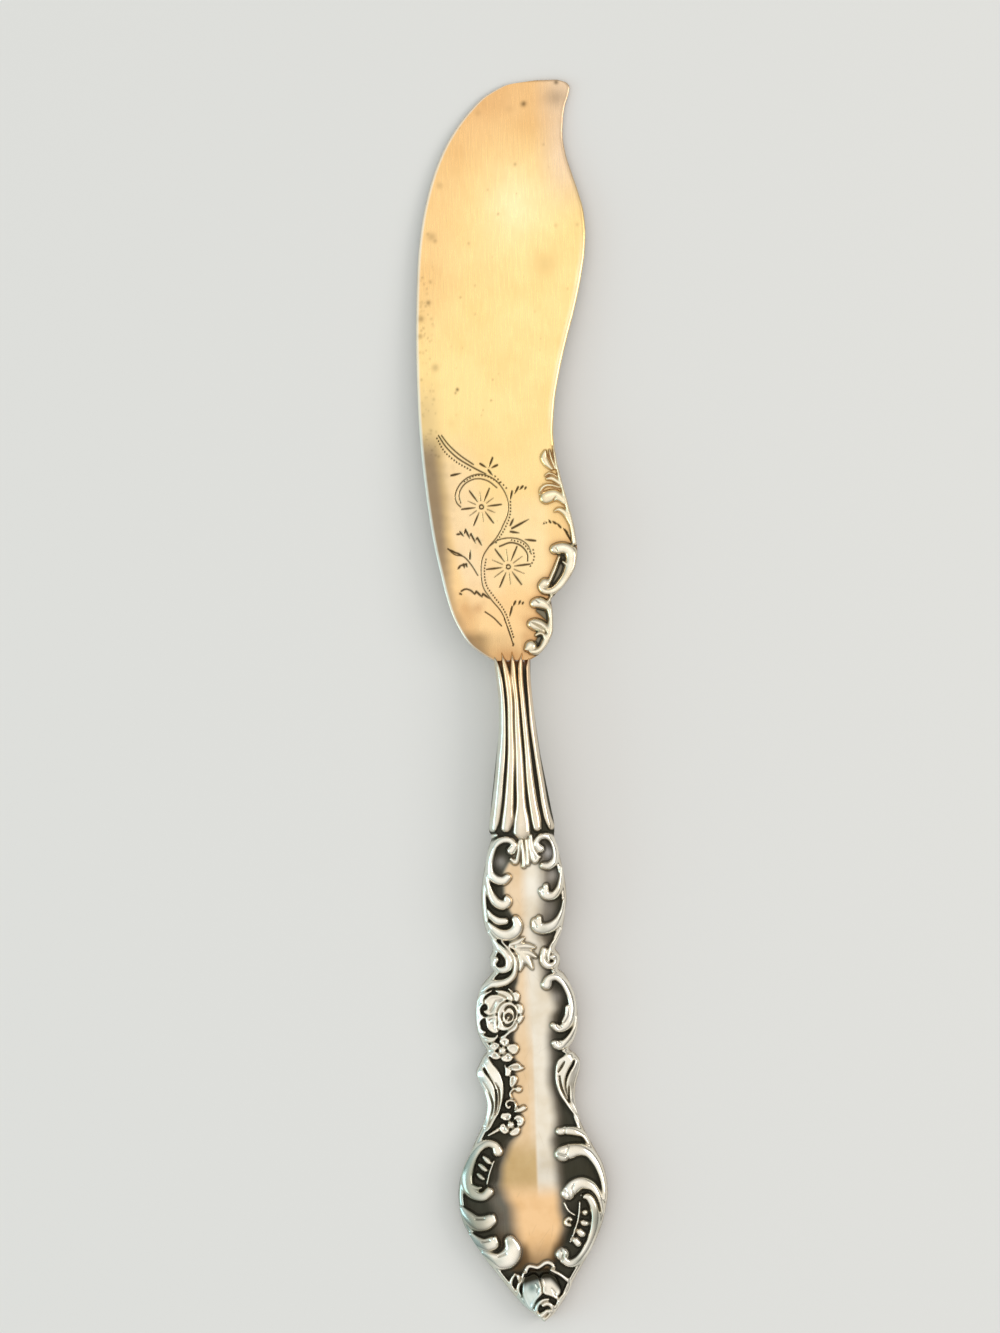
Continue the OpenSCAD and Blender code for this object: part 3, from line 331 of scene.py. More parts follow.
# Edges of the plain panel, where the low dark ground round the ornament begins: place, left, right
PANEL = [
    (-86, 0.6, 0.8), (-84.5, 0, 1.8), (-83, -0.5, 2.6), (-82, -1.0, 3.1), (-80.5, -1.7, 3.7),
    (-78.5, -2.1, 4.3), (-76, -2.3, 3.9), (-74, -3.4, 3.9), (-72, -4.6, 3.7), (-70, -4.5, 3.6),
    (-68, -3.8, 3.4), (-66, -2.9, 3.0), (-64.5, -1.3, 3.5), (-62.5, -0.8, 3.8), (-61.2, -1.2, 3.6),
    (-60, -2, 3.5), (-59, -2.4, 3.3), (-58, -1.8, 3.1), (-57, -1.6, 2.95), (-55.5, -1.6, 3.0),
    (-54.3, -1.2, 3.2), (-53.2, -1.7, 3.2), (-52, -1.3, 3.1), (-50.5, -1.7, 3.1), (-49, -1.3, 3.4),
    (-47.5, -0.6, 3.6), (-46, -0.6, 4.3), (-44.5, -0.9, 4.0), (-43, -1.2, 3.1), (-42, -0.9, 2.6),
    (-40.5, -0.7, 2.3), (-39, -0.6, 2), (-37, -0.4, 2.4), (-35, -0.4, 1.6), (-33, -0.8, 1.9),
    (-31, -1.8, 2.3), (-28.5, -2.4, 2.6), (-26, -2.4, 2.6), (-24.5, -1.8, 2.2), (-23, -0.6, 1.6),
    (-21, 0, 1)]
# Places in the dark ground that are lighter grey: middle, radius and strength
GREY_PATCHES = [
    (-2.9, -24, 0.8, 0.55), (4.3, -22.9, 0.8, 0.9), (4.6, -26.4, 0.8, 0.7), (3.7, -31.4, 1.1, 0.35),
    (4.7, -44.4, 0.8, 0.35)]
# Places on the ornament painted darker, as painted shade: middle, reach across and along, and strength
SHADED_SPOTS = [
    (9.35, -78, 0.8, 2.0, 0.75), (6.5, -84, 1.0, 0.8, 0.6), (4.5, -83.1, 0.8, 0.8, 0.5),
    (4.5, -68.3, 0.8, 0.8, 0.35), (-6.6, -66.2, 1.0, 0.7, 0.5), (-3.7, -80.9, 0.7, 0.7, 0.65),
    (-5.4, -83.7, 1.0, 0.7, 0.45), (-8.9, -77.8, 0.9, 0.8, 0.3), (-1.6, -35, 0.9, 0.5, 0.35),
    (3.1, -34.3, 0.9, 0.5, 0.45)]
# Eyes of the flowers, as beads: middle and radius
EYES = [(-3.68, -52.25, 0.7), (-2.8, -63.37, 0.68), (-2.62, -47.32, 0.26)]
# Strokes of the spine mount: the leaf's stem, the C-scroll and the S-scroll
MOUNT = [
    [(7.05, 38, 0.12), (7.12, 37, 0.2), (7.25, 36, 0.22), (7.5, 34.6, 0.24), (7.8, 33, 0.26),
     (8.2, 31.5, 0.3), (8.55, 30, 0.34), (8.85, 28.4, 0.36), (9.2, 26.6, 0.34), (9.5, 24.9, 0.36),
     (9.7, 23.3, 0.44)],
    [(6.78, 22.4, 0.78), (7.4, 22.5, 0.9), (8.2, 22.5, 0.88), (9.05, 21.9, 0.95), (9.2, 20.8, 0.95),
     (9, 19.6, 0.95), (8.45, 18.3, 0.88), (7.6, 17.2, 0.8), (6.5, 16.35, 0.64), (5.6, 16.08, 0.54),
     (4.8, 16.3, 0.52), (4.45, 17, 0.48), (5.1, 17.35, 0.82)],
    [(7.85, 20.5, 0.16), (8.3, 20.1, 0.3)], [(7.35, 21.2, 0.26), (6.6, 19.4, 0.3), (5.75, 17.6, 0.32)],
    [(6, 15.5, 0.25), (5.8, 15, 0.3), (5.5, 14.6, 0.3)],
    [(3.45, 14.4, 0.72), (3.95, 14.5, 0.84), (4.7, 14.3, 0.82), (5.5, 13.6, 0.52), (5.74, 12.6, 0.42),
     (5.7, 11.2, 0.5), (5.42, 9.8, 0.63), (4.9, 8.6, 0.66), (4.25, 7.65, 0.56), (3.4, 7.2, 0.5),
     (2.7, 7.2, 0.45)],
    [(2.05, 7.65, 0.45), (2.65, 8.02, 0.9)],
    [(2.95, 11.35, 0.74), (3.4, 11.25, 0.94), (4, 11.1, 0.92), (4.7, 10.75, 0.74), (5.3, 10.2, 0.5)],
    [(3.5, 9.65, 0.24), (4.1, 9.92, 0.3), (4.6, 9.7, 0.3), (4.78, 9, 0.28), (4.6, 8.3, 0.25)]]
# Lobes of the mount's leaf, each over the ones before it
LOBES = [
    [(6.45, 37.3, 0.15), (6.6, 36.2, 0.26), (6.9, 35.2, 0.24), (7.2, 34.4, 0.16)],
    [(5.8, 37.1, 0.26), (5.6, 36.2, 0.6), (5.95, 35.3, 0.55), (6.7, 34.4, 0.28)],
    [(5.65, 33.4, 0.14), (6.2, 33.75, 0.22), (6.9, 33.55, 0.22), (7.5, 33, 0.2)],
    [(5.95, 32.95, 0.26), (6.6, 33, 0.42), (7.25, 32.65, 0.4), (7.9, 32, 0.26)],
    [(4.85, 30.6, 0.2), (5, 31.4, 0.3), (5.7, 31.95, 0.3), (6.6, 31.95, 0.26), (7.7, 31.6, 0.2)],
    [(5.72, 30.15, 1.02), (6.3, 30.35, 1.0), (7, 30.45, 0.92), (7.75, 30.1, 0.72), (8.4, 29.3, 0.42)],
    [(6.85, 28.05, 0.14), (7.45, 28.3, 0.36), (8.15, 28, 0.48), (8.75, 27.3, 0.46), (9.2, 26.2, 0.36)]]
# Folds cut into the mount
MOUNT_FOLDS = [
    [(2.95, 11.65, 0.08), (3.5, 11.3, 0.16), (4.2, 10.85, 0.24), (4.8, 10.3, 0.2), (5.05, 9.8, 0.1)],
    [(7.2, 30.25, 0.08), (6.85, 29.7, 0.16)], [(6.25, 37.2, 0.08), (6.5, 35.9, 0.1), (6.95, 34.7, 0.08)],
    [(3.7, 14.9, 0.1), (4.1, 14.5, 0.12)], [(6.9, 22.7, 0.1), (7.1, 22.2, 0.14)]]
# Low ground inside the scrolls of the mount, darkened by tarnish and painted shade
MOUNT_BED = [
    [(8.1, 21.4, 0.7), (7.7, 20.2, 0.9), (7.1, 18.8, 0.9), (6.3, 17.6, 0.7)],
    [(3.8, 13.3, 0.3), (4.4, 13.0, 0.5), (5, 12.4, 0.5), (5.35, 11.8, 0.3)],
    [(4.3, 9.5, 0.4), (3.9, 8.9, 0.5), (3.6, 8.4, 0.4)]]
# Lines engraved on the blade: half width and run of points
VINE = [
    (0.1, [(0, 8.5), (-0.6, 10.5), (-1.5, 13.2), (-3, 15.2), (-4.1, 17), (-4.4, 19.5), (-4.1, 21.5),
            (-3, 23.2), (-2, 24.3), (-0.9, 26.2), (-0.1, 28), (0, 29.6), (-0.6, 31.5), (-2, 33.2),
            (-4, 34), (-6, 33.5), (-7.5, 32), (-7.9, 30.8), (-7.5, 29.6), (-7.1, 29.2)]),
    (0.1, [(-7.1, 29.8), (-7.3, 31), (-6.5, 32.5), (-4.5, 33.35), (-2.9, 32.95), (-1.6, 31.9)]),
    (0.1, [(-3, 23.2), (-1.8, 24), (0, 24.3), (1.6, 24), (2.8, 23), (3.2, 21.8)]),
    (0.13, [(-1.5, 23.1), (0.3, 23.6), (1.8, 23), (2.6, 21.8), (2.6, 20.8)]),
    (0.12, [(-10.05, 40), (-9, 38.3), (-7.5, 36.7), (-5.3, 35.2), (-3.2, 34)]),
    (0.11, [(-9.6, 40), (-8.6, 38.6), (-7, 37), (-5, 35.5)]),
    (0.11, [(-9.2, 23), (-8.2, 22.1), (-7, 21.8), (-5.9, 20.6), (-4.9, 18.9)]),
    (0.14, [(-7.45, 16.6), (-6.85, 16.88), (-6.1, 16.7), (-5.45, 16.1)]),
    (0.11, [(-4, 13.4), (-2.8, 12.5), (-1.6, 11.2)]),
    (0.09, [(-1.2, 12.3), (-0.5, 10.4), (0, 8.5)])]
# Dotted lines beside the vine
DOTTED = [
    [(0.1, 9.5), (-0.3, 11), (-1.1, 13.4), (-2.5, 15.5), (-3.6, 17.2), (-3.9, 19.5), (-3.6, 21.2)],
    [(-2, 23.7), (-0.6, 25.8), (0.25, 27.9), (0.35, 29.7)], [(-0.2, 31.8), (-1.8, 33.6)],
    [(-10.3, 39.6), (-9.4, 37.8), (-7.7, 36.1), (-5.5, 34.7)],
    [(-1.2, 32.6), (-2.9, 33.6), (-4.6, 33.85), (-6.4, 33)], [(0.3, 24), (2, 23.4), (3, 22.2)],
    [(3.5, 22.4), (3.6, 21.2), (3, 20)]]
# Wedge cuts: thick end and thin end
WEDGES = [
    (-8.4, 33.95, -6.9, 34.25), (-2.1, 36.4, -2.7, 35), (-4, 35.6, -3.1, 35), (-1.4, 35.3, -2.3, 34.9),
    (-2.8, 34.6, -2.2, 33.8), (0.65, 31.3, 0.3, 30), (1.6, 31.9, 1, 30.9), (2.3, 32, 1.8, 31.5),
    (2.75, 31.8, 2.5, 31.5), (0.4, 25.7, 3, 27), (0.2, 26.2, 0.75, 27.2), (0.2, 25.25, 1.5, 25),
    (3.9, 23.75, 2.3, 24), (-7.4, 25.15, -7.9, 25.1), (-7.35, 25.45, -6.8, 24.8),
    (-6.5, 25.8, -5.9, 24.4), (-6.5, 25.7, -6.7, 25.2), (-5.65, 25.1, -5.9, 24.8),
    (-4.75, 24.5, -5, 24.2), (-5.7, 25.1, -5.05, 23.7), (-4.75, 24.5, -4.15, 23.3),
    (-6, 21.4, -5.9, 22.7), (-7.5, 20.3, -7.9, 19.9), (-6.5, 20.6, -7.6, 20.4), (-8, 22.3, -9.3, 23),
    (-7.2, 21.9, -8.2, 22.5), (-7.45, 16.15, -7.8, 16.3), (-5.2, 16.5, -4.35, 15.6),
    (-5.2, 16.45, -5.45, 16.1), (-4.2, 16.1, -3.2, 15.3), (-4.2, 16.1, -4.4, 15.7),
    (-6.95, 20.65, -6.85, 20.05), (-6.6, 20.65, -6.45, 20.15), (0.05, 14, -0.4, 12.5),
    (0.6, 14.8, 0.2, 14.1), (1.3, 14.8, 1, 14.3), (1.75, 14.6, 1.5, 14.3), (0, 8.25, 0.1, 8.6),
    (8.35, 25.25, 9.3, 23.4), (8.7, 24.8, 8.1, 25.45), (7.75, 25.6, 7.2, 26.25), (7.05, 26.2, 6.5, 26.6),
    (6.25, 26.4, 5.95, 26.8), (5.6, 26.4, 5.4, 26.55), (5.25, 26.3, 5.1, 26.2)]
# Engraved flowers: middle, and the reach of the wide and narrow rays
DAISIES = [(-4, 29.1, 3.0, 2.2), (-0.3, 20, 3.3, 2.6)]

# Strokes of the handle in the order they are drawn: crest, fullness of the shoulders, widening, channel
STROKES = [
    (REEDS, REED_H, 2.4, 1.27, 0), (CARTOUCHE + CURLS + ROSE_SCROLLS, SCROLL_H, 2.8, 1.3, 0),
    (HEAD_LEFT + HEAD_RIGHT, SCROLL_H, 2.8, 1.12, 0), (SEPALS, LEAF_H, 2.4, 1.45, 0),
    (SPRIG, LEAF_H, 2.0, 1.9, 0), (LEAFLETS, LEAF_H, 2.6, 1.45, CHANNEL),
    (TENDRIL + TIP_ROSE_RIM, LEAF_H, 2.6, 1.75, CHANNEL)]

# Stains on the blade: middle, radius and strength
STAINS = [
    (-10.1, 69.9, 0.55, 0.22), (-9.6, 69.3, 0.3, 0.25), (-10.6, 70.3, 0.25, 0.25), (4.4, 89.5, 0.35, 0.6),
    (-7, 46.8, 0.22, 0.7), (-7.3, 46.3, 0.15, 0.5), (2.2, 88.8, 0.5, 0.08), (-10.9, 60, 0.3, 0.45),
    (-12.1, 57.6, 0.4, 0.35), (-12.3, 55, 0.35, 0.3), (6.8, 65.2, 1.6, 0.07), (-8.6, 77.6, 0.45, 0.15),
    (-10.2, 50.2, 0.5, 0.25), (0, 73, 0.18, 0.25), (2.8, 80.4, 0.2, 0.3), (-2, 45, 0.15, 0.35),
    (8.6, 71, 0.25, 0.14), (11.8, 71, 0.25, 0.16), (9.4, 92.6, 0.3, 0.6), (-2.5, 88.3, 0.4, 0.1)]
# Brown blushes at the foot of the blade: middle, radius and strength
BLUSHES = [
    (-5, 14, 0.8, 0.42), (-6.9, 14.1, 0.9, 0.28), (-6, 13, 1.0, 0.14), (-5.6, 17.4, 0.9, 0.12),
    (2.1, 12, 1.1, 0.22), (2, 9.6, 0.8, 0.3)]


def srgb(red, green, blue):
    """Linear colour of a screen colour given from 0 to 255."""
    return np.array([((c / 255 + 0.055) / 1.055) ** 2.4 for c in (red, green, blue)])


# Colours of the blade, of the handle and of its recesses, and of the solder and the filler
GOLD, PALE_GOLD, PEACH = srgb(246, 216, 151), srgb(252, 232, 184), srgb(244, 204, 150)
ROSE_GOLD, TIP_TAN, PALE_LINEN = srgb(228, 202, 172), srgb(228, 184, 128), srgb(246, 224, 190)
TAUPE, BROWN, CUT_BROWN = srgb(140, 122, 102), srgb(176, 118, 66), srgb(70, 52, 24)
SILVER, BRIGHT, IVORY = srgb(226, 217, 200), srgb(250, 245, 232), srgb(238, 230, 214)
PANEL_PEACH, PANEL_TAN, PANEL_ORANGE = srgb(236, 208, 170), srgb(206, 178, 130), srgb(242, 202, 152)
# Of the next three, the darkest colour is tarnish in the recesses and painted shade there too
SHADE, TARNISH_AND_SHADE, PEWTER = srgb(134, 126, 114), srgb(79, 77, 66), srgb(152, 158, 142)
COOL, TEAL, SLATE = srgb(206, 228, 226), srgb(104, 130, 128), srgb(196, 193, 190)
DEEP, UMBER = srgb(52, 50, 40), srgb(112, 88, 60)
SOLDER, PITCH = srgb(176, 172, 164), srgb(62, 46, 34)

# Tints laid over one another in turn: colour, strength and what bounds it. A bound is a measure with the
# value where the tint begins and the value where it is full, or a bell with its middle and its reach.
BLADE_TINTS = [
    (PEACH, 0.85, [("along", 42, 12)]),
    # The tan towards the tip and along the upper left edge is painted shade, where the blade reflects less
    # light
    (TIP_TAN, 0.95, [("along", 72, 91)]),
    (TIP_TAN, 0.5, [("inset", 8.5, 1.5), ("along", 50, 62)]),
    (TIP_TAN, 0.22, [("across", 4, -2), ("along", 58, 66), ("along", 84, 74)]),
    (BROWN, 0.14, [("across", 4, -1), ("along", 86, 90)]),
    (BROWN, 0.3, [("across", -4, -7), ("along", 17, 11)])]
BLADE_TINTS += [(BROWN, share, [("bell", u, v, radius, radius)]) for u, v, radius, share in BLUSHES]
FIELD_TINTS = [
    # The pale bloom here is a painted highlight
    (PALE_GOLD, 0.72, [("bell", 3, 74.5, 4.4, 5.4)]),
    (ROSE_GOLD, 0.85, [("across", 5, 10), ("along", 70, 82)]),
    (TAUPE, 0.45, [("bell", 9.3, 90.3, 1.8, 1.4)]),
    (PALE_LINEN, 0.55, [("inset", 2.2, 3.8), ("inset", 10.5, 5), ("along", 42, 34), ("along", 12, 21)]),
    (PALE_GOLD, 0.5, [("across", -4, -1.5), ("across", 7, 4.5), ("along", 31.5, 28), ("along", 15, 18.5)])]
# Painted highlights and painted reflections along the edges: a bright rim, a cool rim and a pale bevel by the
# spine
EDGE_HIGHLIGHTS = [
    (BRIGHT, 0.7, [("inset", 0.55, 0.2)]),
    (COOL, 0.35, [("inset", 0.55, 0.2), ("along", 44, 40), ("along", 12, 18)]),
    (PALE_GOLD, 0.9, [("from_spine", 1.1, 0.5), ("along", 38, 44), ("along", 72, 64)])]
PANEL_TINTS = [
    (BRIGHT, 0.5, [("along", -31, -27), ("across", 0.4, 1.4)]),
    (PANEL_TAN, 1, [("along", -64, -69), ("across", 1.1, 0.6), ("along", -76, -71)]),
    (PANEL_ORANGE, 1, [("along", -71.5, -75)]),
    (SHADE, 0.2, [("bell", 0, -70, math.inf, 2.6), ("across", 0.6, 1.2)]),
    (UMBER, 0.75, [("along", -80, -85)]),
    (UMBER, 0.7, [("along", -80.5, -82.5), ("off_middle", 1.3, 2.4)]),
    (BROWN, 1, [("along", MOUTH - 3, MOUTH)])]
POCKET_TINTS = [(SLATE, share, [("bell", u, v, radius, radius)]) for u, v, radius, share in GREY_PATCHES]
METAL_TINTS = [
    (BRIGHT, 0.5, [("along", -21, -17)]),
    (PANEL_PEACH, 0.35, [("along", -21, -17), ("across", -2.4, -1.2)]),
    (PEACH, 0.6, [("along", -4, 5)]),
    # The darker left scrolls and lobes of the head are painted shade
    (PEWTER, 0.8, [("across", -5.5, -8.5), ("along", -65, -69)]),
    (SHADE, 0.3, [("across", -6.4, -8), ("along", -74.6, -76)])]
METAL_TINTS += [(PEWTER, share, [("bell", u, v, wide, long)]) for u, v, wide, long, share in SHADED_SPOTS]
# The cool rim along the handle's left edge is a painted reflection
METAL_TINTS += [(COOL, 0.45, [("inset", 1.3, 0.3)])]
# Specks of tarnish on the blade: number, whether they gather at the edge, spread across, along, radius,
# strength, and whether across is counted from the edge
SPECKS = [
    (90, False, (0.5, 2.6), (36, 66), (0.08, 0.2), (0.08, 0.28), True),
    (40, False, (-10, 12), (12, 92), (0.06, 0.16), (0.1, 0.3), False),
    (90, True, (2.0, 1.3), (8, 42), (0.25, 0.7), (0.02, 0.07), True)]


def rising(low, high, value):
    """Smooth rise from 0 at low to 1 at high."""
    t = np.clip((value - low) / (high - low), 0, 1)
    return t * t * (3 - 2 * t)


def bell(x, y, across, along, wide, long):
    """Soft spot that is 1 in its middle and fades over its reach across and along."""
    return np.exp(-((x - across) / wide) ** 2 - ((y - along) / long) ** 2)


def mix(first, second, share):
    """Colours at points, part of the way from first to second."""
    return first + (second - first) * share[:, None]


def tinted(colour, tints, x, y, **measures):
    """Colours with tints laid over them in turn, each as strong as all of its bounds let it be."""
    measures = {"across": x, "along": y, **measures}
    for tint, strength, bounds in tints:
        share = np.full(len(x), float(strength))
        for kind, *numbers in bounds:
            share = share * (bell(x, y, *numbers) if kind == "bell" else rising(*numbers, measures[kind]))
        colour = mix(colour, tint, share)
    return colour


def hermite(at, places, values, slopes):
    """Cubic curve through values at places, with those slopes."""
    i = np.clip(np.searchsorted(places, at, side="right") - 1, 0, len(places) - 2)
    gap = places[i + 1] - places[i]
    u = (at - places[i]) / gap
    if values.ndim > 1:
        gap, u = gap[:, None], u[:, None]
    return ((1 + 2 * u) * (1 - u) ** 2 * values[i] + u * (1 - u) ** 2 * gap * slopes[i]
            + u * u * (3 - 2 * u) * values[i + 1] + u * u * (u - 1) * gap * slopes[i + 1])


def steady(places, values):
    """Function for a smooth curve through points that never overshoots them."""
    places, values = np.array(places, float), np.array(values, float)
    rate = np.diff(values) / np.diff(places)
    slopes = np.zeros(len(values))
    slopes[0], slopes[-1] = rate[0], rate[-1]
    same = rate[:-1] * rate[1:] > 0
    slopes[1:-1][same] = 2 * rate[:-1][same] * rate[1:][same] / (rate[:-1] + rate[1:])[same]
    return lambda at: hermite(np.clip(at, places[0], places[-1]), places, values, slopes)


def through(points, gap=0.1):
    """Smooth run through points, with a new point at every gap along it."""
    p = np.array(points, float)
    if len(p) < 2:
        return p
    chord = np.hypot(*np.diff(p[:, :2], axis=0).T)
    places = np.concatenate([[0], np.cumsum(chord)])
    rate = np.diff(p, axis=0) / chord[:, None]
    slopes = np.empty_like(p)
    slopes[0], slopes[-1] = rate[0], rate[-1]
    w = chord[:, None]
    slopes[1:-1] = (rate[:-1] * w[1:] + rate[1:] * w[:-1]) / (w[1:] + w[:-1])
    return hermite(np.linspace(0, places[-1], max(2, int(places[-1] / gap))), places, p, slopes)


def edges(table):
    """Functions for the left and the right edge of an outline."""
    place, left, right = zip(*table)
    return steady(place, left), steady(place, right)


blade_left, blade_right = edges(BLADE)
handle_left, handle_right = edges(HANDLE)
panel_left, panel_right = edges(PANEL)
crown = steady([0, 0.4, 0.82, 1], [1, 0.96, 0.72, 0.35])
half_thickness = steady(
    [END, -85, LAND_FOOT, LAND_HEAD, WAIST_FOOT, -25, NECK_FOOT, 0, MOUTH, REED_TIPS],
    [END_T / 2, HANDLE_T / 2 - LAND_RISE, HANDLE_T / 2, HANDLE_T / 2, HANDLE_T / 2 - LAND_RISE,
     HANDLE_T / 2, HANDLE_T / 2, HANDLE_T / 2, MOUTH_T / 2, SPINE_T / 2])


def middle(y):
    """Height of the blade's middle plane and of the handle's seam."""
    fall = (ROOT_Z - EDGE_T / 2) / (TIP - MOUTH)
    reach = MOUTH - WAIST_FOOT
    t = np.clip((y - WAIST_FOOT) / reach, 0, 1)
    from_handle = HANDLE_T / 2 * (1 + t * t * (2 * t - 3))
    to_root = ROOT_Z * t * t * (3 - 2 * t)
    arch = from_handle + to_root - fall * reach * t * t * (t - 1)
    return np.where(y > MOUTH, ROOT_Z - fall * (y - MOUTH), arch)


class Relief:
    """Height map over a stretch of the knife, with the share of it that ornament covers."""

    def __init__(self, left, right, low, high, ground):
        self.left, self.low = left, low
        self.x, self.y = np.meshgrid(np.arange(left, right, STEP), np.arange(low, high, STEP))
        self.height = np.full(self.x.shape, float(ground))
        self.base = self.height
        self.ground = ground
        self.cover = np.zeros(self.x.shape)

    def raise_to(self, rows, cols, crest, swell, cover):
        """Lifts part of the map to a form that swells from the ground to its crest."""
        form = self.ground + (crest - self.ground) * swell
        self.height[rows, cols] = np.maximum(self.height[rows, cols], form)
        self.cover[rows, cols] = np.maximum(self.cover[rows, cols], cover)

    def part(self, x, y, reach):
        """Rows and columns of the map within reach of points."""
        col = [int((x.min() - reach - self.left) / STEP), int((x.max() + reach - self.left) / STEP) + 2]
        row = [int((y.min() - reach - self.low) / STEP), int((y.max() + reach - self.low) / STEP) + 2]
        return slice(max(row[0], 0), max(row[1], 0)), slice(max(col[0], 0), max(col[1], 0))

    def near(self, run, reach, size=24):
        """Parts of the map near a run of points, with the distance to each point and its half width."""
        for i in range(0, len(run), size):
            bit = run[i:i + size + 1]
            rows, cols = self.part(bit[:, 0], bit[:, 1], bit[:, 2].max() + reach)
            across = self.x[rows, cols][..., None] - bit[:, 0]
            along = self.y[rows, cols][..., None] - bit[:, 1]
            yield rows, cols, np.hypot(across, along), bit[:, 2]

    def clear(self, rows, cols, inside):
        """Cuts down to a channel's floor."""
        height = self.height[rows, cols]
        self.height[rows, cols] = np.where(inside, np.minimum(height, CHANNEL_Z), height)

    def stroke(self, points, crest, fullness=3.5, widen=1.0, channel=0.0):
        """Ridge with round shoulders along a run of points, with a channel round it if that has a width."""
        run = through(points)
        run[:, 2] = np.maximum(run[:, 2] * widen, 0.06)
        if channel:
            for rows, cols, away, half in self.near(run, channel):
                self.clear(rows, cols, (away - half).min(axis=-1) < channel)
        for rows, cols, away, half in self.near(run, 0):
            q = np.clip((away / half).min(axis=-1), 0, 1)
            self.raise_to(rows, cols, crest, (1 - q ** fullness) ** 0.6, np.clip((1 - q) * 4, 0, 1))

    def groove(self, points, depth):
        """Line sunk into what is raised."""
        for rows, cols, away, half in self.near(through(points), 0):
            q = np.clip((away / half).min(axis=-1), 0, 1)
            sunk = np.maximum(self.base[rows, cols] - depth * (1 - q * q), self.ground)
            self.height[rows, cols] = np.minimum(self.height[rows, cols], sunk)

    def petal(self, points, crest, channel, dip):
        """Raised shape inside a closed outline, slightly hollow, with a channel round it."""
        ring = through(points + points[:1], 0.15)
        rows, cols = self.part(ring[:, 0], ring[:, 1], channel)
        x, y = self.x[rows, cols], self.y[rows, cols]
        away, inside = np.full(x.shape, 9.0), np.zeros(x.shape, bool)
        for (ax, ay), (bx, by) in zip(ring[:-1], ring[1:]):
            run, rise = bx - ax, by - ay
            t = np.clip(((x - ax) * run + (y - ay) * rise) / (run * run + rise * rise), 0, 1)
            away = np.minimum(away, np.hypot(x - ax - t * run, y - ay - t * rise))
            beside = (x - ax) * rise - (y - ay) * run
            inside ^= ((ay > y) != (by > y)) & (beside < 0 if rise > 0 else beside > 0)
        depth = np.where(inside, away, -away) + PETAL_GROW
        self.clear(rows, cols, depth > -channel)
        q = 1 - np.clip(depth / PETAL_RIM, 0, 1)
        swell = (1 - dip * rising(0.2, 0.7, depth)) * (1 - q ** 2.5) ** 0.5
        self.raise_to(rows, cols, crest, swell, np.clip(depth / 0.1, 0, 1))

    def blurred(self, field, radius):
        """The field averaged over about a radius, by three box blurs."""
        n = max(1, int(radius / STEP / 1.7))
        for axis in (0, 1, 0, 1, 0, 1):
            edge = [(n + 1, n) if a == axis else (0, 0) for a in (0, 1)]
            total = np.cumsum(np.pad(field, edge, mode="edge"), axis=axis)
            size = field.shape[axis]
            high = np.take(total, np.arange(2 * n + 1, 2 * n + 1 + size), axis=axis)
            field = (high - np.take(total, np.arange(size), axis=axis)) / (2 * n + 1)
        return field

    def at(self, field, x, y):
        """The field's value at points, between the cells."""
        col = np.clip((x - self.left) / STEP, 0, field.shape[1] - 1.001)
        row = np.clip((y - self.low) / STEP, 0, field.shape[0] - 1.001)
        i, j = row.astype(int), col.astype(int)
        u, v = row - i, col - j
        return ((1 - u) * ((1 - v) * field[i, j] + v * field[i, j + 1])
                + u * ((1 - v) * field[i + 1, j] + v * field[i + 1, j + 1]))


def circle(x, y, radius, half_width, count=16):
    """Points of a round stroke."""
    turn = np.linspace(0, 2 * math.pi, count)
    return np.column_stack([x + radius * np.cos(turn), y + radius * np.sin(turn), np.full(count, half_width)])


def raise_rim(r):
    """Raises the rim along both edges below the neck, and gives how far in from them each point lies."""
    left, right = handle_left(r.y), handle_right(r.y)
    inside = np.minimum(r.x - left, right - r.x)
    lean = np.abs(np.gradient(np.where(r.x < 0, left, right), STEP, axis=0))
    inside = inside / np.hypot(1, np.minimum(lean, 1.6))
    q = np.clip(np.abs(inside - RIM_INSET) / RIM_HALF, 0, 1)
    below = rising(RIM_HEAD, RIM_FULL, r.y)
    rim = (1 - q ** 3) ** 0.6 * below
    r.height = np.maximum(r.height, -RECESS + (RIM_H + RECESS) * rim)
    r.cover = np.maximum(r.cover, np.clip((1 - q) * 4, 0, 1) * below)
    return inside


def beyond(past, *limits):
    """Soft rise past edges: how far past each, and where its rise begins and is full."""
    return np.maximum.reduce([rising(low, high, away) for away, (low, high) in zip(past, limits)])


def sink_ground(r):
    """Sinks the ground round the ornament, which comes up softly to the plain panel."""
    past_ends = np.maximum(PANEL[0][0] + 1 - r.y, r.y - PANEL[-1][0] - 0.5)
    past = (panel_left(r.y) - r.x, r.x - panel_right(r.y), past_ends)
    head = rising(-71, -75, r.y)
    upper = rising(-43, -37, r.y)
    belly = rising(-64, -66, r.y) * rising(-75, -72, r.y)
    soft_left = (-0.35 - 0.6 * head - 0.9 * belly, 0.55 + 1.4 * head)
    # Shares of the sunk ground that turn grey, then dark: tarnish and painted shade where the ground falls
    # away from the panel
    r.pocket = beyond(past, soft_left, (-0.9, 0.9 + upper), (-0.5, 0.5))
    deep_left = (-0.1 + 2.2 * head, 1.3 + 3.3 * head)
    deep_right = (0.2 + 0.6 * upper, 1.7 + 2.1 * upper)
    r.deep = beyond(past, deep_left, deep_right, (-0.3, 0.8))
    for x, y, radius, share in GREY_PATCHES:
        r.deep *= 1 - share * bell(r.x, r.y, x, y, radius, radius)
    sunk = beyond(past, (0.1 + head, 0.9 + 2 * head), (0.5, 1.8), (-0.2, 0.6))
    r.height = r.blurred(np.maximum(r.height, -RECESS * sunk), SMOOTHING)


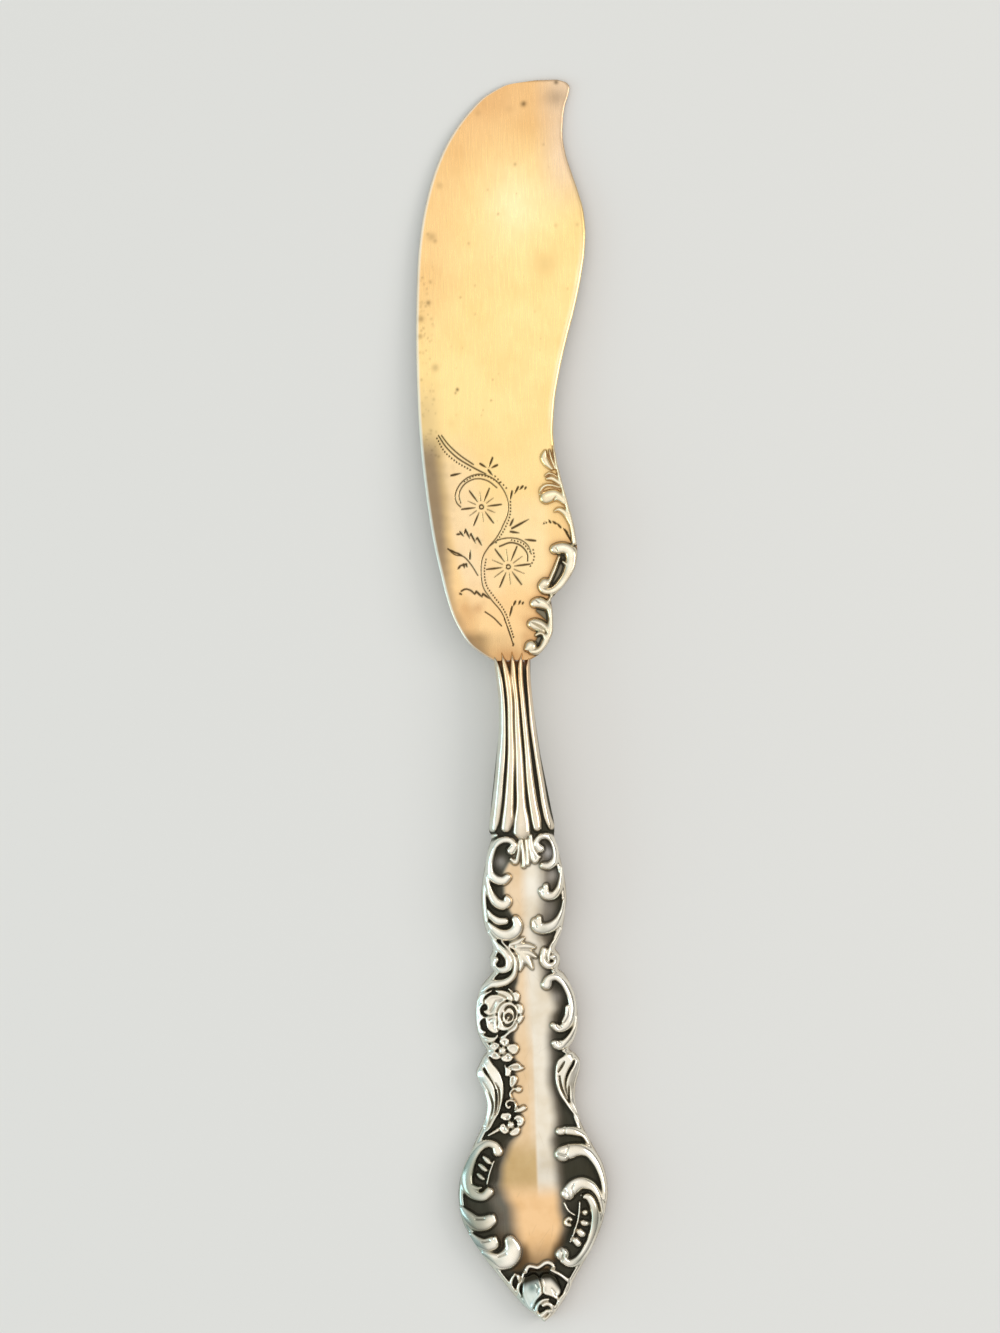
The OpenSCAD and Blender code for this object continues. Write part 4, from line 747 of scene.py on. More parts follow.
def draw_handle():
    """Height map of the handle's front, with its pockets and recesses."""
    r = Relief(-12.3, 12.7, END - 0.6, REED_TIPS + 0.6, -RECESS)
    for strokes, crest, fullness, widen, channel in STROKES:
        for points in strokes:
            r.stroke(points, crest, fullness, widen, channel)
    for outlines, dip in ((LEAVES, LEAF_HOLLOW), (PETALS, PETAL_HOLLOW)):
        for points in outlines:
            r.petal(points, PETAL_H, CHANNEL, dip)
    r.base = r.height.copy()
    lines = [[(x, y, LINE) for x, y in points] for points in GROOVES]
    for cuts, depth in ((lines, LINE_DEPTH), (FOLDS, LINE_DEPTH * 0.65), (WHORLS, SCROLL_H)):
        for points in cuts:
            r.groove(points, depth)
    for eye in EYES:
        r.stroke([eye], SCROLL_H, 3.5, 1.0, CHANNEL)
    inside = raise_rim(r)
    sink_ground(r)
    # Darkening round the ornament and in its hollows: tarnish and painted shade
    crevice = np.clip(r.blurred(np.where(inside < 0, 0.4, r.cover), 0.3) * 2.1, 0, 1) * (1 - r.cover)
    hollow = np.clip((r.blurred(r.height, 0.22) - r.height) / 0.14, 0, 1)
    r.dark = np.maximum(crevice, hollow * 0.9)
    return r


def draw_mount():
    """Height map of the spine mount."""
    r = Relief(MOUNT_SIDE, 10.6, 6.2, 38.2, -0.12)
    for points in LOBES:
        r.stroke(points, MOUNT_H * 0.9, 3.2, 1.06, CHANNEL)
    for points in MOUNT:
        r.stroke(points, MOUNT_H, 2.6, 1.1)
    r.base = r.height.copy()
    for points in MOUNT_FOLDS:
        r.groove(points, LINE_DEPTH)
    for points in MOUNT_BED:
        r.stroke(points, MOUNT_H * 0.04, 4.0)
    r.height = r.blurred(r.height, SMOOTHING)
    # Darkening in the hollows: tarnish and painted shade
    r.dark = np.clip((r.blurred(r.height, 0.2) - r.height) / 0.12, 0, 1)
    return r


def draw_engraving():
    """Depth map of the engraving on the blade's face."""
    r = Relief(-11.5, 10.6, 6.2, 41.6, 0)
    for half_width, points in VINE:
        r.stroke([(x, y, half_width) for x, y in points], CUT_DEPTH, 1.3)
    for points in DOTTED:
        for x, y in through(points, DOT_GAP):
            r.stroke([(x, y, DOT)], CUT_DEPTH, 2)
    for x, y, tail_x, tail_y in WEDGES:
        belly = (0.65 * x + 0.35 * tail_x, 0.65 * y + 0.35 * tail_y, WEDGE_BELLY)
        r.stroke([(x, y, WEDGE_HEAD), belly, (tail_x, tail_y, WEDGE_TAIL)], CUT_DEPTH, 1.4)
    for x, y, wide, narrow in DAISIES:
        r.stroke(circle(x, y, 0.3, 0.12), CUT_DEPTH, 1.5)
        for k in range(12):
            turn = math.radians(30 * k + 5)
            reach, half_width = (wide, 0.16) if k % 2 == 0 else (narrow, 0.07)
            ray = [(0.95, 0.07), (0.72 * reach, half_width), (reach, half_width * 0.7)]
            r.stroke([(x + d * math.cos(turn), y + d * math.sin(turn), w) for d, w in ray], CUT_DEPTH, 1.4)
    return r


def make_mesh(name, points, faces, smooth, colours, dull):
    """Object from points in millimetres, with its colour and dullness at each point."""
    mesh = bpy.data.meshes.new(name)
    mesh.from_pydata((points * 0.001).tolist(), [], faces)
    mesh.polygons.foreach_set("use_smooth", smooth)
    tint = mesh.attributes.new("tint", "FLOAT_COLOR", "POINT")
    opaque = np.column_stack([colours, np.ones(len(colours))])
    tint.data.foreach_set("color", opaque.ravel().astype(np.float32))
    rough = mesh.attributes.new("dull", "FLOAT", "POINT")
    rough.data.foreach_set("value", dull.astype(np.float32))
    mesh.validate()
    mesh.update()
    piece = bpy.data.objects.new(name, mesh)
    bpy.context.scene.collection.objects.link(piece)
    return piece


def sheet_faces(rows, cols, first, up):
    """Quads of a grid of points that starts at the index first."""
    at = first + np.arange(rows * cols).reshape(rows, cols)
    a, b, c, d = at[:-1, :-1], at[:-1, 1:], at[1:, 1:], at[1:, :-1]
    ring = (a, b, c, d) if up else (a, d, c, b)
    return np.stack([k.ravel() for k in ring], axis=1).tolist()


def slab(name, y, x_top, z_top, x_low, z_low, colours, dull, smooth_low=False):
    """Closed solid between an upper and a lower sheet that share their rows, tinted on the smooth one."""
    rows, top, low = len(y), x_top.shape[1], x_low.shape[1]
    first = rows * top
    points = np.vstack([
        np.column_stack([x_top.ravel(), np.repeat(y, top), z_top.ravel()]),
        np.column_stack([x_low.ravel(), np.repeat(y, low), z_low.ravel()])])
    upper, lower = sheet_faces(rows, top, 0, True), sheet_faces(rows, low, first, False)
    i = np.arange(rows - 1)
    sides = []
    for a, b, flip in ((0, 0, False), (top - 1, low - 1, True)):
        ring = [i * top + a, (i + 1) * top + a, first + (i + 1) * low + b, first + i * low + b]
        sides += np.stack(ring[::-1] if flip else ring, axis=1).tolist()
    caps = []
    for row, turn in ((0, -1), (rows - 1, 1)):
        across, back = row * top + np.arange(top), first + row * low + np.arange(low)[::-1]
        caps.append(np.concatenate([across, back])[::turn].tolist())
    smooth = [not smooth_low] * len(upper) + [smooth_low] * len(lower) + [True] * len(sides) + [False] * 2
    plain = np.tile(SILVER, (points.shape[0] - len(colours), 1))
    quiet = np.full(len(plain), PLAIN_DULL)
    colours = np.vstack([plain, colours] if smooth_low else [colours, plain])
    dull = np.concatenate([quiet, dull] if smooth_low else [dull, quiet])
    return make_mesh(name, points, upper + lower + sides + caps, smooth, colours, dull)


def island(name, x, y, z_top, z_low, keep, colours, dull):
    """Closed solid over the kept cells of a grid of points."""
    rows, cols = x.shape
    count = rows * cols
    at = np.arange(count).reshape(rows, cols)
    a, b, c, d = at[:-1, :-1], at[:-1, 1:], at[1:, 1:], at[1:, :-1]
    top = np.stack([k[keep] for k in (a, b, c, d)], axis=1)
    low = np.stack([k[keep] + count for k in (a, d, c, b)], axis=1)
    padded = np.pad(keep, 1)
    walls = []
    for near, far, shift in ((a, b, (-1, 0)), (b, c, (0, 1)), (c, d, (1, 0)), (d, a, (0, -1))):
        open_side = keep & ~padded[1 + shift[0]:rows + shift[0], 1 + shift[1]:cols + shift[1]]
        near, far = near[open_side], far[open_side]
        walls.append(np.stack([near, near + count, far + count, far], axis=1))
    faces = np.vstack([top, low] + walls)
    used, faces = np.unique(faces, return_inverse=True)
    faces = faces.reshape(-1, 4)
    points = np.vstack([np.column_stack([x.ravel(), y.ravel(), z.ravel()]) for z in (z_top, z_low)])[used]
    smooth = [True] * len(top) + [False] * (len(faces) - len(top))
    return make_mesh(name, points, faces.tolist(), smooth, np.vstack([colours, colours])[used],
                     np.concatenate([dull, dull])[used])


def spread(count, ease=0.25):
    """Shares from 0 to 1 that lie a little closer at both ends."""
    t = np.linspace(0, 1, count)
    return (1 - ease) * t + ease * (0.5 - 0.5 * np.cos(math.pi * t))


def stretches(*runs):
    """Places along the knife: each run from, to and at a spacing, then the last end."""
    return np.concatenate([np.arange(a, b - gap / 2, gap) for a, b, gap in runs] + [[runs[-1][1]]])


def blade_face(x, y):
    """Height of the blade's face above its middle plane, with its edges rounded off."""
    left, right = blade_left(y), blade_right(y)
    along = (y - MOUTH) / (TIP - MOUTH)
    spine = EDGE_T + (SPINE_T - EDGE_T) * (1 - along ** 2)
    edge = EDGE_T + (SPINE_T - EDGE_T) * np.maximum(0, 1 - (y - MOUTH) / ROOT_REACH) ** 2
    share = np.clip((x - left) / (right - left), 0, 1)
    half = (edge + (spine - edge) * share) / 2
    for away, width, drop in ((x - left, 0.4, 0.55), (right - x, 0.6, 0.5), (TIP + 0.05 - y, 0.4, 0.5)):
        t = 1 - np.clip(away / width, 0, 1)
        half = half - drop * half * (1 - np.sqrt(np.clip(1 - t * t, 0, 1)))
    return half


def painted_edge_reflection(y, inset):
    """Painted dark reflection along the lower part of the spreading edge, with a ragged border."""
    ragged = 0.1 * np.sin(y * 1.7) + 0.08 * np.sin(y * 3.9 + 1)
    width = 1.8 + 1.4 * rising(15, 24, y) + 1.1 * rising(24, 31, y) + ragged
    shade = rising(width, 0.4 + 0.9 * rising(18, 29, y), inset)
    above = 0.3 * rising(50, 43, y) + 0.7 * rising(41.5, 36.5, y)
    return shade * above * (0.35 + 0.65 * rising(10, 24, y))


def tarnish_spots(x, y):
    """Strength of the stains and specks on the blade's face."""
    draw = np.random.default_rng(SPECK_SEED)
    places = list(STAINS)
    for count, gathered, across, along, radius, strength, from_edge in SPECKS:
        u = (draw.gamma if gathered else draw.uniform)(*across, count)
        v, r, k = (draw.uniform(*limits, count) for limits in (along, radius, strength))
        places += zip(u + blade_left(v) * from_edge, v, r, k)
    spots = np.zeros(len(x))
    for u, v, r, k in places:
        near = (np.abs(x - u) < 3 * r) & (np.abs(y - v) < 3 * r)
        spot = k * np.exp(-((x[near] - u) ** 2 + (y[near] - v) ** 2) / (1.2 * r * r))
        spots[near] = np.maximum(spots[near], spot)
    return spots


def blade_colours(x, y, mount, depth):
    """Colour and dullness of the blade's face: worn gilt tarnish with painted highlights, painted reflections
    and painted shade, stains and dark engraving.
    """
    inset, from_spine = x - blade_left(y), blade_right(y) - x
    colour = tinted(np.tile(GOLD, (len(x), 1)), BLADE_TINTS, x, y, inset=inset)
    foot = 0.1 + 0.1 * rising(1, -2, x) + 0.45 * rising(-2.5, -5, x)
    colour = mix(colour, UMBER, foot * rising(11.2, 9.2, y))
    colour = tinted(colour, FIELD_TINTS, x, y, inset=inset)
    # Grey along the lower edge: a painted dark reflection
    shade = painted_edge_reflection(y, inset)
    colour = mix(colour, TAUPE, shade * 0.88)
    colour = tinted(colour, EDGE_HIGHLIGHTS, x, y, inset=inset, from_spine=from_spine)
    # Brown halo round the mount, and a dark line against it that is painted shadow
    halo = mount.at(mount.blurred(mount.cover, 1.0), x, y) * rising(38, 33, y) * (x > MOUNT_SIDE)
    halo = halo * (1 - 0.7 * rising(23, 29, y))
    colour = mix(colour, BROWN, np.clip(halo * 1.2, 0, 0.6))
    line = mount.at(mount.blurred(mount.cover, 0.32), x, y) * (x > MOUNT_SIDE) * (y < 37.5)
    line = line * (1 - 0.4 * rising(26, 31, y))
    colour = mix(colour, CUT_BROWN, np.clip(line * 1.4, 0, 0.9))
    colour = mix(colour, BROWN, 0.55 * bell(x, y, -0.6, 6.6, 2.6, 1.6))
    spots = tarnish_spots(x, y)
    colour = mix(colour, CUT_BROWN, spots)
    inked = np.clip(depth / CUT_DEPTH * 1.15, 0, 1)
    colour = mix(colour, CUT_BROWN, inked * 0.92)
    return colour, 0.28 + 0.5 * np.maximum(spots, inked) + 0.1 * shade


def make_blade(mount, cuts):
    """Blade with its engraved face and its tang."""
    y = stretches((MOUTH - TANG_LEN, MOUTH - 0.1, 5), (MOUTH - 0.1, MOUTH, 0.1), (MOUTH, 42, 0.085),
                  (42, 90, 0.2), (90, 92.6, 0.08), (92.6, TIP, 0.025))
    tang = y < MOUTH
    half_w = (TANG_W + (TANG_END_W - TANG_W) * (MOUTH - y) / TANG_LEN) / 2
    left = np.where(tang, -half_w, blade_left(y))[:, None]
    right = np.where(tang, half_w, blade_right(y))[:, None]
    x = left + (right - left) * spread(300)
    yy = np.broadcast_to(y[:, None], x.shape)
    depth = cuts.at(cuts.height, x, yy) * ~tang[:, None] * (yy < ENGRAVED_TO)
    face = np.where(tang[:, None], TANG_T / 2, blade_face(x, np.maximum(yy, MOUTH)))
    top = middle(yy) + face - depth
    few = np.unique(np.concatenate([np.linspace(0, 1, 25), [0.006, 0.015, 0.985, 0.994]]))
    x_low = left + (right - left) * few
    yy_low = np.broadcast_to(y[:, None], x_low.shape)
    low = middle(yy_low) - np.where(tang[:, None], TANG_T / 2, blade_face(x_low, np.maximum(yy_low, MOUTH)))
    colour, dull = blade_colours(x.ravel(), yy.ravel(), mount, depth.ravel())
    return slab("blade_plate_engraved", y, x, top, x_low, low, colour, dull)


def mount_colours(y, height, dark):
    """Colour and dullness of the mount: bright scrolls over a bed darkened by tarnish and painted shade, and
    a golden leaf.
    """
    rise = rising(-0.05, 0.28, height)
    leaf = rising(23.5, 28, y)
    # Crests painted brighter than the rest: a painted highlight
    colour = mix(np.tile(SILVER, (len(y), 1)), BRIGHT, rising(0.5, 0.8, height))
    colour = mix(colour, PALE_GOLD, 0.35 + leaf * 0.25)
    # Low ground and hollows darkened: tarnish and painted shade
    grime_and_shade = np.clip(dark * 0.9 + (1 - rise) * 0.85, 0, 0.94)
    colour = mix(mix(colour, TARNISH_AND_SHADE, grime_and_shade * (1 - leaf)), BROWN, grime_and_shade * leaf * 0.48)
    colour = mix(colour, DEEP, rising(0.7, 0.94, grime_and_shade) * (1 - leaf) * 0.7)
    return colour, 0.2 + 0.5 * np.clip(dark + 1 - rise, 0, 1)


def make_mount(r):
    """Cast leaf and scrolls along the heel of the spine."""
    y = np.arange(6.3, 38, MOUNT_GRID)
    across = np.arange(0, MOUNT_REACH, MOUNT_GRID)
    x = (blade_right(y)[:, None] - MOUNT_GAP - across)[:, ::-1]
    yy = np.broadcast_to(y[:, None], x.shape)
    t = 1 - np.clip((blade_right(yy) - x) / 0.3, 0, 1)
    height = r.at(r.height, x, yy)
    height = np.where(height > 0, height * np.sqrt(1 - 0.8 * t * t), height)
    base = middle(yy) + blade_face(np.minimum(x, blade_right(yy) - 0.6), yy)
    lifted = height > -0.02
    keep = lifted[:-1, :-1] | lifted[:-1, 1:] | lifted[1:, 1:] | lifted[1:, :-1]
    colour, dull = mount_colours(yy.ravel(), height.ravel(), r.at(r.dark, x, yy).ravel())
    return island("spine_mount_scrolls", x, yy, base + height, base - MOUNT_ROOT, keep, colour, dull)


def hollow_sheet(y, left, right, side):
    """Columns and heights of the inside of a half shell, down from the seam on its own side."""
    half_w = (right - left) / 2
    wall = np.minimum(WALL, 0.45 * half_w)
    centre = (left + right) / 2
    inner = (half_w - wall) / 2
    x = np.column_stack([left, left + wall, left + wall, centre - inner, centre + inner,
                         right - wall, right - wall, right])
    open_row = ((y < CORE_HEAD) & (y > CORE_END))[:, None]
    deep = (half_thickness(y) - WALL)[:, None] * np.array([0, 0, 0.3, 1, 1, 0.3, 0, 0])
    return x, middle(y)[:, None] + side * np.where(open_row, np.maximum(deep, SEAM_T / 2), SEAM_T / 2)


def scratches(x, y):
    """Fine straight scratches and dents worn into the panel."""
    draw = np.random.default_rng(SCRATCH_SEED)
    worn = np.zeros(len(x))
    for along in draw.uniform(-83, -22, 46):
        left, right = float(panel_left(along)), float(panel_right(along))
        across, turn = draw.uniform(left, right), draw.normal(math.pi / 2, 0.5)
        length, depth = draw.uniform(0.4, 1.8), draw.uniform(0.06, 0.22)
        dx, dy = x - across, y - along
        near = np.hypot(dx, dy) < length + 0.3
        lengthways = dx[near] * math.cos(turn) + dy[near] * math.sin(turn)
        sideways = dy[near] * math.cos(turn) - dx[near] * math.sin(turn)
        mark = depth * rising(0.06, 0.01, np.abs(sideways)) * rising(length, length * 0.6, np.abs(lengthways))
        worn[near] = np.maximum(worn[near], mark)
    return worn


def panel_colours(x, y, cover):
    """Colours of the plain panel: peach and ivory halves, the ivory one a painted reflection, tan and orange
    at the head, fine scratches.
    """
    soft = rising(-54, -47, y)
    sharp = 0.3 * rising(-0.4, 0.8, x) + 0.7 * rising(0.65, 1.15, x)
    parted = (1 - soft) * sharp + soft * rising(-0.9, 1.3, x)
    panel = mix(np.tile(PANEL_PEACH, (len(x), 1)), IVORY, np.maximum(parted, soft * 0.15))
    panel = tinted(panel, PANEL_TINTS, x, y, off_middle=np.abs(x - 1))
    return mix(panel, SHADE, scratches(x, y) * (1 - cover))


def shade_end_rose(metal, x, y):
    """Petals of the end rose: painted cool reflection, painted teal shade, and painted shade under its rim.
    """
    brow = -86.95 + 0.25 * np.minimum(x, 1) - 0.9 * np.maximum(x - 2.2, 0) ** 1.5
    under_left, under_right = x + 1.64 - 0.45 * (y + 85.64), -85.3 - 0.76 * (x - 2.5) - y
    petals = rising(0.38, 0.5, np.minimum(under_left, under_right)) * rising(4.0, 3.8, x)
    petals = petals * (y > -91.4) * (y < -85.2)
    metal = mix(metal, COOL, rising(0.9, 0.3, x) * petals * 0.7)
    metal = mix(metal, TEAL, bell(x, y, -0.45, -87.8, 0.75, 0.75) * petals * 0.85)
    return mix(metal, DEEP, rising(-0.75, 0.45, y - brow) * petals)


def front_colours(x, y, r):
    """Colour and dullness of the handle's front: ornament with painted highlights on its crests, warm panel,
    and ground darkened by tarnish and painted shade.
    """
    cover, height, pocket, deep, dark = (r.at(f, x, y) for f in (r.cover, r.height, r.pocket, r.deep, r.dark))
    # Grey, then umber at the head, over the ground sunk round the panel: painted shade with tarnish
    verge = mix(np.tile(SHADE, (len(x), 1)), UMBER, rising(-78, -82, y))
    colour = mix(panel_colours(x, y, cover), verge, pocket * rising(MOUTH, MOUTH - 3, y))
    # Sunk ground and crevices darkened: tarnish and painted shade
    tarnish_and_shade_share = np.clip(np.maximum(deep, dark * 0.8), 0, 1)
    colour = mix(colour, TARNISH_AND_SHADE, tarnish_and_shade_share * rising(MOUTH + 1, MOUTH - 2, y))
    colour = tinted(colour, POCKET_TINTS, x, y)
    # Crests painted brighter than their feet: a painted highlight
    metal = mix(np.tile(SILVER, (len(x), 1)), BRIGHT, rising(0.2, 0.6, height))
    metal = tinted(metal, METAL_TINTS, x, y, inset=x - handle_left(y))
    metal = shade_end_rose(metal, x, y)
    metal = mix(metal, TARNISH_AND_SHADE, np.clip(dark * 0.8, 0, 0.85))
    colour = mix(colour, metal, cover)
    # Low flanks of the ornament below the neck darkened: tarnish and painted shade at their feet
    foot = rising(0.22, -0.05, height) * cover * rising(NECK_FOOT + 1, NECK_FOOT - 1, y)
    colour = mix(colour, TARNISH_AND_SHADE, foot * 0.75)
    grime_and_shade = np.maximum(dark * (1 - 0.5 * cover), pocket * (1 - cover))
    return colour, 0.16 + 0.14 * (1 - cover) + 0.4 * np.clip(grime_and_shade, 0, 1)


def make_front(r):
    """Struck front half of the handle with all its ornament."""
    y = stretches((END, -92, 0.04), (-92, REED_TIPS, 0.1))
    left, right = handle_left(y), handle_right(y)
    share = spread(210)
    x = left[:, None] + (right - left)[:, None] * share
    yy = np.broadcast_to(y[:, None], x.shape)
    u = np.broadcast_to(2 * share - 1, x.shape)
    face = SEAM_T / 2 + (half_thickness(yy) - SEAM_T / 2) * crown(np.abs(u))
    dip = (1 - r.at(r.cover, x, yy)) * rising(MOUTH - 0.8, MOUTH + 0.6, yy)
    top = middle(yy) + np.maximum(face + r.at(r.height, x, yy) - dip, SEAM_T / 2 + 0.2)
    x_low, low = hollow_sheet(y, left, right, 1)
    over_blade = (y > MOUTH)[:, None]
    low = np.where(over_blade, middle(y)[:, None] + SPINE_T / 4, low)
    colour, dull = front_colours(x.ravel(), yy.ravel(), r)
    return slab("handle_front_relief", y, x, top, x_low, low, colour, dull)


def make_back(r):
    """Struck back half of the handle: plain and crowned, with reeds up the neck and a flat land."""
    y = stretches((END, -92, 0.06), (-92, MOUTH, 0.2))
    left, right = handle_left(y), handle_right(y)
    share = spread(90)
    x = left[:, None] + (right - left)[:, None] * share
    yy = np.broadcast_to(y[:, None], x.shape)
    half_w = (right - left)[:, None] / 2
    centre = (right + left)[:, None] / 2
    u = np.abs(x - centre) / half_w
    flat = np.minimum(0.55, (LAND_W / 2 - np.abs(LAND_X - centre)) / half_w)
    shoulder, brink = np.clip((u - flat) / (0.8 - flat), 0, 1), np.clip((u - 0.8) / 0.2, 0, 1)
    slope = 1 - 0.25 * shoulder ** 1.5 - 0.45 * brink ** 1.5
    reeds = np.where(r.cover > 0, r.height, 0.0) * (r.y > NECK_FOOT - 1.5)
    ribs = r.at(reeds, x, yy) * rising(NECK_FOOT - 1.4, NECK_FOOT + 1, yy)
    low = middle(yy) - SEAM_T / 2 - (half_thickness(yy) - SEAM_T / 2) * slope - ribs
    x_top, top = hollow_sheet(y, left, right, -1)
    groove = rising(0.12, -0.25, ribs).ravel()
    warm = 0.5 + 0.5 * np.sin(yy.ravel() * 0.11 + x.ravel() * 0.2)
    colour = mix(mix(np.tile(SILVER, (x.size, 1)), PANEL_PEACH, warm * 0.6), TARNISH_AND_SHADE, groove * 0.85)
    colour = mix(colour, SHADE, rising(0.9, 1.0, u.ravel()) * 0.35)
    return slab("handle_back_shell", y, x_top, top, x, low, colour, 0.3 + 0.4 * groove, smooth_low=True)


def make_seam():
    """Ribbon of solder between the half shells, just short of their edges."""
    y = stretches((END + 0.1, -92, 0.06), (-92, MOUTH, 0.3))
    left, right = handle_left(y) + 0.05, handle_right(y) - 0.05
    inner = np.minimum(WALL - 0.05, (right - left) / 2)
    bands = []
    for name, a, b in (("seam_solder_left", left, left + inner), ("seam_solder_right", right - inner, right)):
        x = np.column_stack([a, b])
        high = np.broadcast_to((middle(y) + SEAM_T / 2)[:, None], x.shape)
        colour, dull = np.tile(SILVER, (x.size, 1)), np.full(x.size, SOLDER_DULL)
        bands.append(slab(name, y, x, high, x, high - SEAM_T, colour, dull))
    return bands


def shader(name):
    """New material with its nodes, links and shader."""
    material = bpy.data.materials.new(name)
    material.use_nodes = True
    tree = material.node_tree
    return material, tree.nodes, tree.links, tree.nodes["Principled BSDF"]


def noise(nodes, links, scale, detail, stretch=None):
    """Noise over the object's own coordinates, drawn out along one way if stretch is given."""
    place = nodes.new("ShaderNodeTexCoord")
    texture = nodes.new("ShaderNodeTexNoise")
    texture.inputs["Scale"].default_value = scale
    texture.inputs["Detail"].default_value = detail
    source = place.outputs["Object"]
    if stretch:
        mapping = nodes.new("ShaderNodeMapping")
        mapping.inputs["Scale"].default_value = stretch
        links.new(source, mapping.inputs["Vector"])
        source = mapping.outputs["Vector"]
    links.new(source, texture.inputs["Vector"])
    return texture.outputs["Fac"]


def ranged(nodes, links, value, low, high, to_low, to_high):
    """The value carried from one range to another."""
    node = nodes.new("ShaderNodeMapRange")
    for key, number in (("From Min", low), ("From Max", high), ("To Min", to_low), ("To Max", to_high)):
        node.inputs[key].default_value = number
    links.new(value, node.inputs["Value"])
    return node.outputs["Result"]


def summed(nodes, links, first, second):
    """Two values added."""
    node = nodes.new("ShaderNodeMath")
    node.operation = "ADD"
    links.new(first, node.inputs[0])
    links.new(second, node.inputs[1])
    return node.outputs[0]


def roughen(nodes, links, bsdf, height, strength, distance):
    """Fine relief over the shader's surface."""
    bump = nodes.new("ShaderNodeBump")
    bump.inputs["Strength"].default_value = strength
    bump.inputs["Distance"].default_value = distance
    links.new(height, bump.inputs["Height"])
    links.new(bump.outputs["Normal"], bsdf.inputs["Normal"])


def painted(nodes, name):
    """What a mesh holds at its points under a name."""
    node = nodes.new("ShaderNodeAttribute")
    node.attribute_name = name
    return node.outputs


def plate_material(name, cloud_mm, stain, scratch_depth):
    """Old silver plate: tinted by its tarnish and by painted light and shade, clouded, finely scratched and
    duller in the recesses.
    """
    material, nodes, links, bsdf = shader(name)
    bsdf.inputs["Metallic"].default_value = 1.0
    tint, dull = painted(nodes, "tint")["Color"], painted(nodes, "dull")["Fac"]
    cloud = noise(nodes, links, 1000 / cloud_mm, 4)
    hairs = noise(nodes, links, 1000, 3, (5.5, 0.35, 1))
    shade = nodes.new("ShaderNodeValToRGB")
    shade.color_ramp.elements[0].position = 0.3
    shade.color_ramp.elements[0].color = (*stain, 1)
    shade.color_ramp.elements[1].position = 0.62
    shade.color_ramp.elements[1].color = (1, 1, 1, 1)
    links.new(cloud, shade.inputs["Fac"])
    blend = nodes.new("ShaderNodeMix")
    blend.data_type = "RGBA"
    blend.blend_type = "MULTIPLY"
    blend.inputs["Factor"].default_value = 1.0
    ends = {socket.identifier: socket for socket in blend.inputs}
    links.new(tint, ends["A_Color"])
    links.new(shade.outputs["Color"], ends["B_Color"])
    results = {socket.identifier: socket for socket in blend.outputs}
    links.new(results["Result_Color"], bsdf.inputs["Base Color"])
    wear = ranged(nodes, links, hairs, 0.35, 0.7, -0.02, 0.04)
    links.new(summed(nodes, links, dull, wear), bsdf.inputs["Roughness"])
    roughen(nodes, links, bsdf, hairs, scratch_depth, 0.00002)
    return material


def plain_material(name, colour, metallic, roughness, grain_mm, depth):
    """Dull solid matter with a grain of its own."""
    material, nodes, links, bsdf = shader(name)
    bsdf.inputs["Metallic"].default_value = metallic
    grain = noise(nodes, links, 1000 / grain_mm, 5)
    ramp = nodes.new("ShaderNodeValToRGB")
    ramp.color_ramp.elements[0].color = (*(colour * 0.7), 1)
    ramp.color_ramp.elements[1].color = (*(colour * 1.2), 1)
    links.new(grain, ramp.inputs["Fac"])
    links.new(ramp.outputs["Color"], bsdf.inputs["Base Color"])
    rough = ranged(nodes, links, grain, 0.3, 0.7, roughness - 0.08, roughness + 0.08)
    links.new(rough, bsdf.inputs["Roughness"])
    roughen(nodes, links, bsdf, grain, depth, 0.00005)
    return material


def place_piece(piece, material, slot, *nodes):
    """Dresses a piece, sets it on the knife's body and lets it stand for its CAD nodes."""
    piece.data.materials.append(material)
    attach(piece, "root")
    if nodes:
        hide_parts(*nodes)


def dress_node(node, material):
    """Gives a CAD node that stays a material of its own."""
    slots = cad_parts[node].data.materials
    slots.clear()
    slots.append(material)


def build_knife():
    """All the pieces of the knife."""
    relief, mount, cuts = draw_handle(), draw_mount(), draw_engraving()
    blade_metal = plate_material("blade_plate", 7, (0.94, 0.9, 0.84), 0.05)
    mount_metal = plate_material("mount_plate", 2, (0.88, 0.83, 0.75), 0.1)
    front_metal = plate_material("front_plate", 3, (0.9, 0.86, 0.79), 0.1)
    back_metal = plate_material("back_plate", 6, (0.84, 0.77, 0.66), 0.2)
    solder = plain_material("solder", SOLDER, 1.0, 0.45, 0.6, 0.3)
    pitch = plain_material("loading", PITCH, 0.0, 0.75, 0.8, 0.6)
    place_piece(make_blade(mount, cuts), blade_metal, "blade_plate", "blade")
    place_piece(make_mount(mount), mount_metal, "mount_plate", "spine_mount")
    place_piece(make_front(relief), front_metal, "front_plate", "handle_front")
    place_piece(make_back(relief), back_metal, "back_plate", "handle_back")
    for band in make_seam():
        place_piece(band, solder, "solder", "seam_solder")
    dress_node("neck_solder", solder)
    dress_node("handle_loading", pitch)


def lay_floor():
    """Pale plain floor."""
    bpy.ops.mesh.primitive_plane_add(size=3, location=(0, 0, -0.00002))
    floor = bpy.context.object
    floor.name = "floor"
    material, _, _, bsdf = shader("floor")
    bsdf.inputs["Base Color"].default_value = (0.78, 0.77, 0.75, 1)
    bsdf.inputs["Roughness"].default_value = 0.9
    bsdf.inputs["Specular IOR Level"].default_value = 0.0
    floor.data.materials.append(material)


